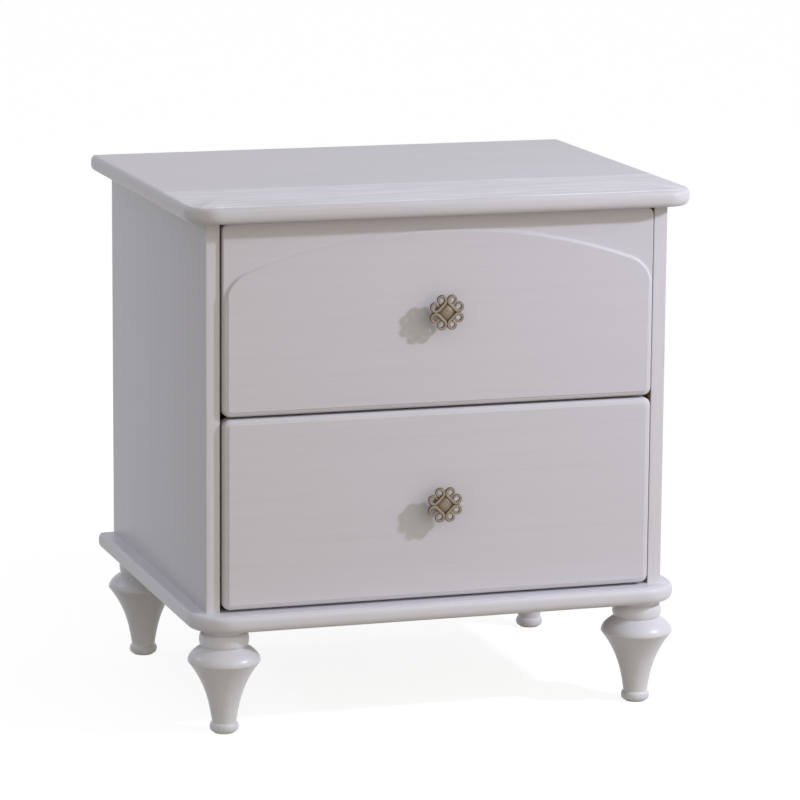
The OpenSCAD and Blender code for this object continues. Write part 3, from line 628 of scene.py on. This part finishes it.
# The legs get a lighter copy of the white paint: painted light, for the extra light that the lower
# parts catch from the floor.
turned_colour = add(paint_turned, "ShaderNodeValToRGB", stops=[
    (0.3, "#DDDCE2"), (0.5, "#E0DFE5"), (0.75, "#E2E1E8")], _0=turned_grain)
turned_peel = add(paint_turned, "ShaderNodeTexNoise", Vector=turned_place, Scale=1 / (2.5 * MM))
turned_bump = add(paint_turned, "ShaderNodeBump", Height=turned_peel, Strength=0.25,
                  Distance=0.03 * MM)
turned_rough = add(paint_turned, "ShaderNodeMapRange", Value=turned_grain, From_Min=0.3,
                   From_Max=0.7, To_Min=0.3, To_Max=0.35)
turned_coat = add(paint_turned, "ShaderNodeBsdfPrincipled", Base_Color=turned_colour,
                  Roughness=turned_rough, IOR=1.5, Normal=turned_bump)
add(paint_turned, "ShaderNodeOutputMaterial", Surface=turned_coat)
print("leg paint:", paint_turned.name)

# %% Profile of a leg and its turning
# Heights and radii, named from the floor up. The taper takes what height is left.
FOOT_H, BULB_H, BEAD_H, COLLAR_H = 9.4 * MM, 16.6 * MM, 15 * MM, 4.9 * MM
FOOT_R, NECK_R, BULB_R = 15.4 * MM, 12.8 * MM, 38.7 * MM
WAIST_R, BEAD_R, COLLAR_R = 24.2 * MM, 26.6 * MM, 22.5 * MM
STRAIGHT_SHARE = 0.385   # of the taper's rise that goes evenly
FLARE_POWER = 2.75       # of the rest, which flares
TURNING_STEP = 0.25 * MM


def half_ellipse(z, h, r_low, r_high, r_out, steps=22):
    """Radius r_in + (r_out - r_in) cos a over height z + h/2 (1 + sin a)."""
    a = np.linspace(-math.pi / 2, math.pi / 2, steps)
    r_in = np.where(a < 0, r_low, r_high)
    return np.stack([r_in + (r_out - r_in) * np.cos(a), z + h / 2 * (1 + np.sin(a))], 1)


def leg_profile(height):
    """Radius and height from the foot up. Over the taper's height t goes from 0 to 1,
    and the radius rises by STRAIGHT_SHARE times t plus the rest times t to the power
    FLARE_POWER. The whole line is then cut into even steps, each averaged with two on
    either side, the near ones counting more, and every third is kept."""
    crease = height - BULB_H - BEAD_H - COLLAR_H
    t = np.linspace(0, 1, 44)
    rise = STRAIGHT_SHARE * t + (1 - STRAIGHT_SHARE) * t ** FLARE_POWER
    taper = np.stack([NECK_R + (BULB_R - NECK_R) * rise, FOOT_H + (crease - FOOT_H) * t], 1)
    t = np.linspace(0, 1, 20)[1:]
    bulb = np.stack([WAIST_R + (BULB_R - WAIST_R) * (1 - t * t), crease + BULB_H * t], 1)
    foot = half_ellipse(0, FOOT_H, NECK_R, NECK_R, FOOT_R)
    bead = half_ellipse(crease + BULB_H, BEAD_H, WAIST_R, COLLAR_R, BEAD_R)
    shape = np.concatenate([foot[:-1], taper, bulb, bead[1:], [[COLLAR_R, height]]])
    length = np.concatenate([[0], np.cumsum(np.linalg.norm(np.diff(shape, axis=0), axis=1))])
    fine = np.arange(0, length[-1], TURNING_STEP)
    even = np.stack([np.interp(fine, length, shape[:, k]) for k in (0, 1)], 1)
    blur = np.array([1, 2, 3, 2, 1]) / 9
    soft = np.stack([np.convolve(np.pad(even[:, k], 2, "edge"), blur, "valid") for k in (0, 1)], 1)
    soft = np.concatenate([shape[:1], soft[1:-1:3], shape[-1:]])
    return np.concatenate([[[0, 0]], soft, [[0, height]]])


def turned(profile, axis_x, axis_y, base_z, steps=96):
    """Profile turned about a vertical axis, as rows round it by columns up it: at the
    angle a, a point of radius r stands at r cos a, r sin a from the axis."""
    a = np.linspace(0, 2 * math.pi, steps + 1)
    a[-1] = 0
    return np.stack([axis_x + profile[:, 0] * np.cos(a)[:, None],
                     axis_y + profile[:, 0] * np.sin(a)[:, None],
                     np.broadcast_to(base_z + profile[:, 1], (a.size, len(profile)))], -1)


for node in ("front_left_leg", "front_right_leg", "rear_left_leg", "rear_right_leg"):
    low, high = corner_pair(node)
    shape = turned(leg_profile(high[2] - low[2]), *((low + high) / 2)[:2], low[2])
    leg = make_piece(node.replace("leg", "turned_leg"), [shape], paint_turned, "cabinet",
                     30)
    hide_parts(node)
print("legs:", len(leg.data.polygons), "faces each")

# %% [markdown]
# ## Scrollwork knobs
#
# A knob is cast in a zinc alloy, plated and then aged, so that the hollows stay dark
# and the ridges are rubbed bright. The same values also paint shade on the flanks of
# each strap and a highlight along its ridge. A round foot and a stem carry a small
# pillow set on its corner. Along each of the pillow's four sides runs a strap that curls
# outwards at both ends and comes back thin to its own middle, which leaves eight
# drop-shaped holes. One strap is a plane path with a thick half-round section; its
# heading turns faster and faster, which is what makes a scroll.

# %% Aged metal for the knobs
aged_and_shaded = new_finish("aged_and_shaded_nickel_bronze_cast")
# wear and painted shade, read from the mesh: dark flanks and walls are painted shade, bright ridges
# are rubbed metal with a painted highlight
wear_and_shade_here = add(aged_and_shaded, "ShaderNodeAttribute", {"attribute_name": "wear_and_shade"}).outputs["Fac"]
aged_place = add(aged_and_shaded, "ShaderNodeTexCoord").outputs["Object"]
cast = add(aged_and_shaded, "ShaderNodeTexNoise", Vector=aged_place, Scale=1 / (1.4 * MM), Detail=3.0)
uneven = add(aged_and_shaded, "ShaderNodeMath", {"operation": "MULTIPLY_ADD"}, _0=cast, _1=0.5, _2=-0.25)
rubbed_and_shaded = add(aged_and_shaded, "ShaderNodeMath", {"operation": "ADD", "use_clamp": True}, _0=wear_and_shade_here,
             _1=uneven)
aged_and_shaded_colour = add(aged_and_shaded, "ShaderNodeValToRGB", stops=[
    (0.0, "#483D30"), (0.5, "#766858"), (1.0, "#AE9F88")], _0=rubbed_and_shaded)
aged_rough = add(aged_and_shaded, "ShaderNodeMapRange", Value=rubbed_and_shaded, From_Min=0.0, From_Max=1.0,
                 To_Min=0.6, To_Max=0.42)
aged_bump = add(aged_and_shaded, "ShaderNodeBump", Height=cast, Strength=0.3, Distance=0.08 * MM)
aged_metal = add(aged_and_shaded, "ShaderNodeBsdfPrincipled", Base_Color=aged_and_shaded_colour, Metallic=0.8,
                 Roughness=aged_rough, Normal=aged_bump)
add(aged_and_shaded, "ShaderNodeOutputMaterial", Surface=aged_metal)
print("knob metal:", aged_and_shaded.name)

# %% Path and section of a strap
knob_low, knob_high = corner_pair("upper_knob")
knob_reach = knob_high[1] - knob_low[1]
STRAP_OFFSET = 8.4 * MM  # from the knob's middle to the line of the strap
STRAIGHT = 4.2 * MM      # straight stretch on each side of the strap's middle
CURL_FROM = 5.3 * MM     # radius where the curl begins
CURL_TO = 3.2 * MM       # and where it ends
CURL_TURN = math.radians(275)  # how far the heading turns in between
TIP = 3.4 * MM           # straight stretch at the end of the curl
HALF_WIDTH = 2.15 * MM
strap_level = knob_reach - 3.0 * MM


def half_strap(steps=70):
    """One half of a strap from its middle to its tip. It goes straight, then its
    heading p turns from 0 to CURL_TURN while the radius shrinks evenly on a log
    scale, and then straight on, back to the middle. Each short move is (cos p, sin p)
    times the length gone."""
    p = np.linspace(0, CURL_TURN, steps)
    r = CURL_FROM * (CURL_TO / CURL_FROM) ** (p / CURL_TURN)
    move = np.stack([np.cos(p), np.sin(p)], 1) * (r * np.gradient(p))[:, None]
    curl = np.cumsum(move, 0) - move[:1] / 2 + (STRAIGHT, 0)
    straight = np.stack([np.linspace(0, STRAIGHT, 9)[:-1], np.zeros(8)], 1)
    home = np.linspace(0, TIP, 13)[1:, None] * (math.cos(p[-1]), math.sin(p[-1]))
    return np.concatenate([straight, curl, curl[-1] + home])


def strap_sheet(turn):
    """Tube round the path: across it half the strap's width times the root of cos a,
    which makes steep sides, and upwards sin a to the power 0.8, a flattened top, with
    0.7 of that below. The width thins to a half at the tips, which end round. The strap
    is turned about the knob's middle. Sin a to the power 4 tells how far a point is on the
    ridge: there the metal is rubbed bright and a highlight is painted, and on the flanks
    below it a painted shade darkens the strap."""
    half = half_strap()
    path = np.concatenate([half[:0:-1] * (-1, 1), half])
    way = np.gradient(path, axis=0)
    way /= np.linalg.norm(way, axis=1)[:, None]
    gone = np.concatenate([[0], np.cumsum(np.linalg.norm(np.diff(path, axis=0), axis=1))])
    part = np.abs(2 * gone / gone[-1] - 1)
    left = (1 - part) * gone[-1] / 2
    width = HALF_WIDTH * (1 - 0.5 * part ** 1.2)
    width = np.where(left < width, np.sqrt(np.maximum(left * (2 * width - left), 0)), width)
    a = np.linspace(0, 2 * math.pi, 17)
    a[-1] = 0
    across = np.sign(np.cos(a)) * np.sqrt(np.abs(np.cos(a)))
    up = np.sign(np.sin(a)) * np.abs(np.sin(a)) ** 0.8 * np.where(np.sin(a) > 0, 1.0, 0.7)
    side = np.stack([-way[:, 1], way[:, 0]], 1)
    x = path[:, :1] + width[:, None] * across * side[:, :1]
    y = STRAP_OFFSET + path[:, 1:] + width[:, None] * across * side[:, 1:]
    z = strap_level + np.maximum(width, 0.2 * width.max())[:, None] * up * (left > 0)[:, None]
    c, s = math.cos(turn), math.sin(turn)
    ridge = np.clip(np.sin(a), 0, 1)[None] ** 4 * np.ones_like(x)
    return np.stack([c * x - s * y, s * x + c * y, z], -1), ridge


print("strap tips reach", round(float(np.abs(half_strap()).max()) * 1000, 1), "mm along")

# %% [markdown]
# The pillow is a grid over a square whose top swells by about the square root of the
# product of two parabolas, which gives it full cheeks between four pointed corners.
# The foot and the stem are turned. The knob is worked out lying flat, facing up, and
# then stood upright so that it faces the room.

# %% Build the two knobs
PILLOW_HALF = 7.5 * MM   # half its side
PILLOW_RISE = 3.4 * MM   # from its edge to its middle
SWELL = 0.55             # power of the product of parabolas
pillow_back = knob_reach - 4.4 * MM
# Radius and height in millimetres: the foot and stem from the drawer front upwards, and
# the cup under the pillow, whose heights count down from the knob's front.
stem_low = np.array([[0, 0], [6.6, 0], [7.0, 0.4], [7.0, 1.1], [6.6, 1.6], [5.4, 2.1], [4.8, 3.0],
                     [4.6, 4.5]]) * MM
stem_high = np.array([[4.6, 9.5], [4.9, 7.5], [5.6, 5.8], [6.8, 4.6], [7.4, 4.1], [7.4, 3.2],
                      [0, 3.2]]) * MM * (1, -1) + (0, knob_reach)


def pillow_sheets(steps=29):
    """Front, four walls and back of the pillow over u, v from -1 to 1, turned by 45
    degrees, and the wear and painted shade of each: lighter towards the crown, dark on
    the walls and the back. The front rises by PILLOW_RISE times ((1 - u^2)(1 - v^2)) to
    the power SWELL and reaches knob_reach in the middle."""
    u, v = np.meshgrid(*[np.sin(np.linspace(-1, 1, steps) * math.pi / 2)] * 2, indexing="ij")
    rise = ((1 - u * u) * (1 - v * v)).clip(0) ** SWELL
    x, y = PILLOW_HALF * (u - v) / math.sqrt(2), PILLOW_HALF * (u + v) / math.sqrt(2)
    front = np.stack([x, y, knob_reach - PILLOW_RISE * (1 - rise)], -1)
    walls = [front[[0, 0]], front[[-1, -1]], front[:, [0, 0]], front[:, [-1, -1]]]
    for wall in walls[:2]:
        wall[1, :, 2] = pillow_back
    for wall in walls[2:]:
        wall[:, 1, 2] = pillow_back
    back = front[::-1].copy()
    back[..., 2] = pillow_back
    wear_and_shade = [0.2 + 0.48 * rise, *[np.full(wall.shape[:2], 0.1) for wall in walls], 0.1 * rise]
    return [front, *walls, back], wear_and_shade


def cast_knob(name, node):
    """Foot, stem, pillow and four straps in one mesh, stood upright at the node. The
    value that the material reads on foot and stem waves with the height z over the
    drawer, as sin 400 z."""
    low, high = corner_pair(node)
    stem = turned(np.concatenate([stem_low, stem_high]), 0, 0, 0, 40)
    sheets, wear_and_shade = pillow_sheets()
    sheets.append(stem)
    wear_and_shade.append(0.3 + 0.25 * np.sin(stem[..., 2] * 400))
    for quarter in range(4):
        strap, ridge = strap_sheet(math.radians(45 + 90 * quarter))
        sheets.append(strap)
        # rubbed bright with a painted highlight on the ridge, painted shade on the flanks
        wear_and_shade.append(0.05 + 0.75 * ridge)
    middle = (low + high) / 2
    sheets = [np.stack([middle[0] + s[..., 0], high[1] - s[..., 2], middle[2] + s[..., 1]], -1)
              for s in sheets]
    knob = make_piece(name, sheets, aged_and_shaded, node.replace("knob", "drawer"), 50,
                      wear_and_shade=np.concatenate([w.ravel() for w in wear_and_shade]))
    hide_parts(node)
    return knob


knobs = [cast_knob("upper_scroll_knob", "upper_knob"), cast_knob("lower_scroll_knob", "lower_knob")]
print("knobs:", [len(o.data.polygons) for o in knobs])

# %% [markdown]
# ## Finishes of the inner parts
#
# The drawer boxes, slides, screws and glides keep their CAD shape, which is already
# right, and each gets the finish of what it is. Box sides and top rails are planed
# rubberwood: a pale, warm, dull wood with faint long bands and short pores. The box
# bottoms are birch plywood, a little paler, and the back panel is painted like the
# boards. Slides and screws are zinc-plated steel, which has a cloudy grey shine. The
# balls are polished steel, which mirrors clearly, and the glides are moulded nylon,
# off-white and almost dull.

# %% Pale wood and plywood


def pale_wood(name, axis, light, dark, pore, shift=(0.0, 0.0, 0.0)):
    """Planed wood: a slow stretched noise goes between two tones, and a fine one, drawn
    0.8 mm wide where a real pore has 0.2 mm, darkens the pores and dents the surface."""
    finish = new_finish(name)
    where = add(finish, "ShaderNodeTexCoord").outputs["Object"]
    grain = add(finish, "ShaderNodeMapping", Vector=where, Rotation=TURN_TO_X[axis], Location=shift)
    bands = stretched_noise(finish, grain, 220 * MM, 9 * MM, Detail=3.0, Distortion=0.6)
    pores = stretched_noise(finish, grain, 14 * MM, 0.8 * MM, Detail=2.0)
    tone = add(finish, "ShaderNodeValToRGB", stops=[(0.3, dark), (0.7, light)], _0=bands)
    cut = add(finish, "ShaderNodeMapRange", Value=pores, From_Min=0.3, From_Max=0.45,
              To_Min=0.55, To_Max=0.0)
    colour = add(finish, "ShaderNodeMix", {"data_type": "RGBA"}, Factor=cut,
                 _6=tone, _7=linear(pore))
    bump = add(finish, "ShaderNodeBump", Height=pores, Strength=0.4, Distance=0.1 * MM)
    rough = add(finish, "ShaderNodeMapRange", Value=pores, From_Min=0.3, From_Max=0.7,
                To_Min=0.62, To_Max=0.5)
    wood = add(finish, "ShaderNodeBsdfPrincipled", Base_Color=colour.outputs[2], Roughness=rough,
               IOR=1.5, Normal=bump)
    add(finish, "ShaderNodeOutputMaterial", Surface=wood)
    return finish


RUBBERWOOD = ("#D9BF98", "#C9A97C", "#A9855A")
BIRCH = ("#DCC7A4", "#CFB48A", "#B3936A")
wood_across = pale_wood("planed_rubberwood_across", "x", *RUBBERWOOD)
wood_deep = pale_wood("planed_rubberwood_lengthwise", "y", *RUBBERWOOD)
plywood = pale_wood("birch_plywood", "x", *BIRCH, (0.4, 0.2, 0.1))
print("woods:", wood_across.name, wood_deep.name, plywood.name)

# %% Zinc plating, polished steel and nylon


def plain_hardware(name, light, dark, metallic, rough_low, rough_high, spot):
    """Plated or moulded finish: a soft noise, `spot` wide, moves both the colour and
    the roughness between two values, and dents the surface by a hundredth of that."""
    finish = new_finish(name)
    where = add(finish, "ShaderNodeTexCoord").outputs["Object"]
    cloud = add(finish, "ShaderNodeTexNoise", Vector=where, Scale=1 / spot, Detail=3.0)
    colour = add(finish, "ShaderNodeValToRGB", stops=[(0.3, dark), (0.7, light)], _0=cloud)
    rough = add(finish, "ShaderNodeMapRange", Value=cloud, From_Min=0.3, From_Max=0.7,
                To_Min=rough_low, To_Max=rough_high)
    bump = add(finish, "ShaderNodeBump", Height=cloud, Strength=0.2, Distance=0.01 * spot)
    skin = add(finish, "ShaderNodeBsdfPrincipled", Base_Color=colour, Metallic=metallic,
               Roughness=rough, Normal=bump)
    add(finish, "ShaderNodeOutputMaterial", Surface=skin)
    return finish


zinc = plain_hardware("zinc_plated_steel", "#C3C6C8", "#A3A7AC", 1.0, 0.28, 0.42, 4 * MM)
steel = plain_hardware("polished_bearing_steel", "#CDCFD1", "#BFC1C4", 1.0, 0.1, 0.18, 3 * MM)
nylon = plain_hardware("moulded_white_nylon", "#D9D6CE", "#CFCBC2", 0.0, 0.45, 0.55, 2 * MM)
print("hardware:", zinc.name, steel.name, nylon.name)

# %% Give each CAD node its finish
painted_back = open_pore_paint("open_pore_paint_back", "x", 0.4, (0.5, 0.3, 0.2))


def dress(finish, *endings):
    """Puts a finish on each CAD node whose name ends with one of the endings."""
    chosen = [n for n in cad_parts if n.endswith(endings)]
    for node in chosen:
        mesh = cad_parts[node].data
        mesh.materials.clear()
        mesh.materials.append(finish)
    return len(chosen)


dressed = [dress(painted_back, "back_panel"),
           dress(wood_across, "_top_rail", "box_front", "box_back"),
           dress(wood_deep, "box_left", "box_right", "dowels"), dress(plywood, "box_bottom"),
           dress(zinc, "cabinet_rail", "drawer_rail", "middle_rail", "screws", "knob_screw",
                 "cages", "bolts", "nuts"),
           dress(steel, "balls"), dress(nylon, "glides")]
print("dressed CAD nodes:", sum(dressed))

# %% [markdown]
# ## Studio
#
# A plain pale floor, a pale surround and soft light, as for a catalogue. Light that
# reaches the cabinet from the floor is a warm grey, because a real studio floor
# never gives all its light back, while the camera sees the floor as white with the
# cabinet's soft contact shadow on it. Light Path tells the two kinds of ray apart.

# %% Floor


def looked_at(owner):
    """1 for a ray that the camera sends out, straight or off gloss or through glass,
    and 0 for one that only gathers light."""
    ray = add(owner, "ShaderNodeLightPath")
    seen = ray.outputs["Is Camera Ray"]
    for kind in ("Is Glossy Ray", "Is Transmission Ray"):
        seen = add(owner, "ShaderNodeMath", {"operation": "MAXIMUM"}, _0=seen,
                   _1=ray.outputs[kind])
    return seen


floor_finish = new_finish("matt_studio_floor")
floor_grey = add(floor_finish, "ShaderNodeBsdfDiffuse", Color=(0.42, 0.37, 0.30, 1.0))
floor_pale = add(floor_finish, "ShaderNodeBsdfDiffuse", Color=(0.3, 0.3, 0.3, 1.0))
floor_glow = add(floor_finish, "ShaderNodeEmission", Color=(0.87, 0.87, 0.87, 1.0), Strength=1.0)
floor_white = add(floor_finish, "ShaderNodeAddShader", _0=floor_pale, _1=floor_glow)
floor_shader = add(floor_finish, "ShaderNodeMixShader", _0=looked_at(floor_finish),
                   _1=floor_grey, _2=floor_white)
add(floor_finish, "ShaderNodeOutputMaterial", Surface=floor_shader)

FLOOR_HALF, FLOOR_NEAR, FLOOR_FAR = 30, -30, 60  # half its width, and its two ends
floor_mesh = bpy.data.meshes.new("studio_floor")
floor_mesh.from_pydata([(-FLOOR_HALF, FLOOR_NEAR, 0), (FLOOR_HALF, FLOOR_NEAR, 0),
                        (FLOOR_HALF, FLOOR_FAR, 0), (-FLOOR_HALF, FLOOR_FAR, 0)],
                       [], [(0, 1, 2, 3)])
floor_mesh.materials.append(floor_finish)
floor = bpy.data.objects.new("studio_floor", floor_mesh)
bpy.context.scene.collection.objects.link(floor)
print("floor:", FLOOR_FAR - FLOOR_NEAR, "m deep")

# %% [markdown]
# The surround is brightest on the wall in front of the cabinet, a little to the right,
# and darker towards the left, the back and the ceiling. That is what shades the white
# boards: the fronts are the lightest, and the left side is a little cooler and darker.

# %% Surround
surround = bpy.data.worlds.new("studio_surround")
bpy.context.scene.world = surround
surround.use_nodes = True
surround.node_tree.nodes.clear()
BRIGHT_WALL = math.radians(25)  # its heading, turned from -Y, the front, towards +X
ZENITH, FRONT, SIDES = (0.35, 0.33, 0.36, 1.0), (1.46, 1.41, 1.13, 1.0), (0.14, 0.18, 0.22, 1.0)
sky_place = add(surround, "ShaderNodeTexCoord").outputs["Generated"]
toward = add(surround, "ShaderNodeSeparateXYZ", _0=sky_place)
to_wall = add(surround, "ShaderNodeVectorMath", {"operation": "DOT_PRODUCT"}, _0=sky_place,
              _1=(math.sin(BRIGHT_WALL), -math.cos(BRIGHT_WALL), 0.0))
facing = add(surround, "ShaderNodeMapRange", Value=to_wall.outputs["Value"], From_Min=-0.3,
             From_Max=1.0)
walls = add(surround, "ShaderNodeMix", {"data_type": "RGBA"}, Factor=facing, _6=SIDES, _7=FRONT)
ambient = add(surround, "ShaderNodeMix", {"data_type": "RGBA"}, Factor=toward.outputs[2],
              _6=walls.outputs[2], _7=ZENITH)
sky_colour = add(surround, "ShaderNodeMix", {"data_type": "RGBA"}, Factor=looked_at(surround),
                 _6=ambient.outputs[2], _7=(1.0, 1.0, 1.0, 1.0))
sky = add(surround, "ShaderNodeBackground", Color=sky_colour.outputs[2], Strength=1.0)
add(surround, "ShaderNodeOutputWorld", Surface=sky)
print("surround:", surround.name)

# %% [markdown]
# One small key light stands to the right of the cabinet, in front of it and a metre
# above its middle. Its direction decides everything that is seen of the relief: the
# arch's left shoulder is in shade, the right one is lit, and each knob throws its
# shadow down to the left. A weak, cool fill, far to the left and a little behind, keeps
# the shaded side open.

# %% Lights


def square_light(name, direction, distance, size, power, colour, aim=(0.0, -0.05, 0.33)):
    """Area light at `distance` from the aim along a direction, facing the aim."""
    lamp = bpy.data.lights.new(name, "AREA")
    lamp.size = size
    lamp.energy = power
    lamp.color = colour
    light = bpy.data.objects.new(name, lamp)
    way = Vector(direction).normalized()
    light.location = Vector(aim) + distance * way
    light.rotation_euler = (-way).to_track_quat("-Z", "Y").to_euler()
    bpy.context.scene.collection.objects.link(light)
    return light


key = square_light("key_light", direction=(0.71, -0.515, 0.48), distance=1.9, size=0.095,
                   power=17.8, colour=(0.78, 0.81, 1.0))
fill = square_light("fill_light", direction=(-0.806, 0.375, 0.454), distance=2.6, size=0.13,
                    power=5.9, colour=(0.75, 0.82, 1.0))
print("lights:", key.name, fill.name)

# %% [markdown]
# ## Camera
#
# The camera stands over four metres away behind a long lens and looks slightly down,
# so the cabinet's upright edges stay nearly parallel. Its heading, pitch and roll turn
# into three directions: to the right, up, and away from the view.

# %% Camera
CAMERA_PLACE = (-1.35299, -4.24582, 1.17703)
LENS = 185.575  # mm, for a sensor 36 mm wide
camera_data = bpy.data.cameras.new("camera")
camera_data.sensor_width = 36.0
camera_data.lens = LENS
camera_data.clip_end = 100.0
camera = bpy.data.objects.new("camera", camera_data)
yaw, pitch, roll = (math.radians(v) for v in (17.87909, -10.97627, 0.4368))
ahead = Vector((math.sin(yaw) * math.cos(pitch), math.cos(yaw) * math.cos(pitch), math.sin(pitch)))
level = Vector((math.cos(yaw), -math.sin(yaw), 0.0))
upward = level.cross(ahead)
rightward = level * math.cos(roll) + upward * math.sin(roll)
upward = upward * math.cos(roll) - level * math.sin(roll)
turned_to = Matrix((rightward, upward, -ahead)).transposed()
camera.matrix_world = Matrix.Translation(CAMERA_PLACE) @ turned_to.to_4x4()
bpy.context.scene.collection.objects.link(camera)
bpy.context.scene.camera = camera
bpy.context.scene.view_settings.view_transform = "Standard"
print("camera", [round(v, 3) for v in camera.location])
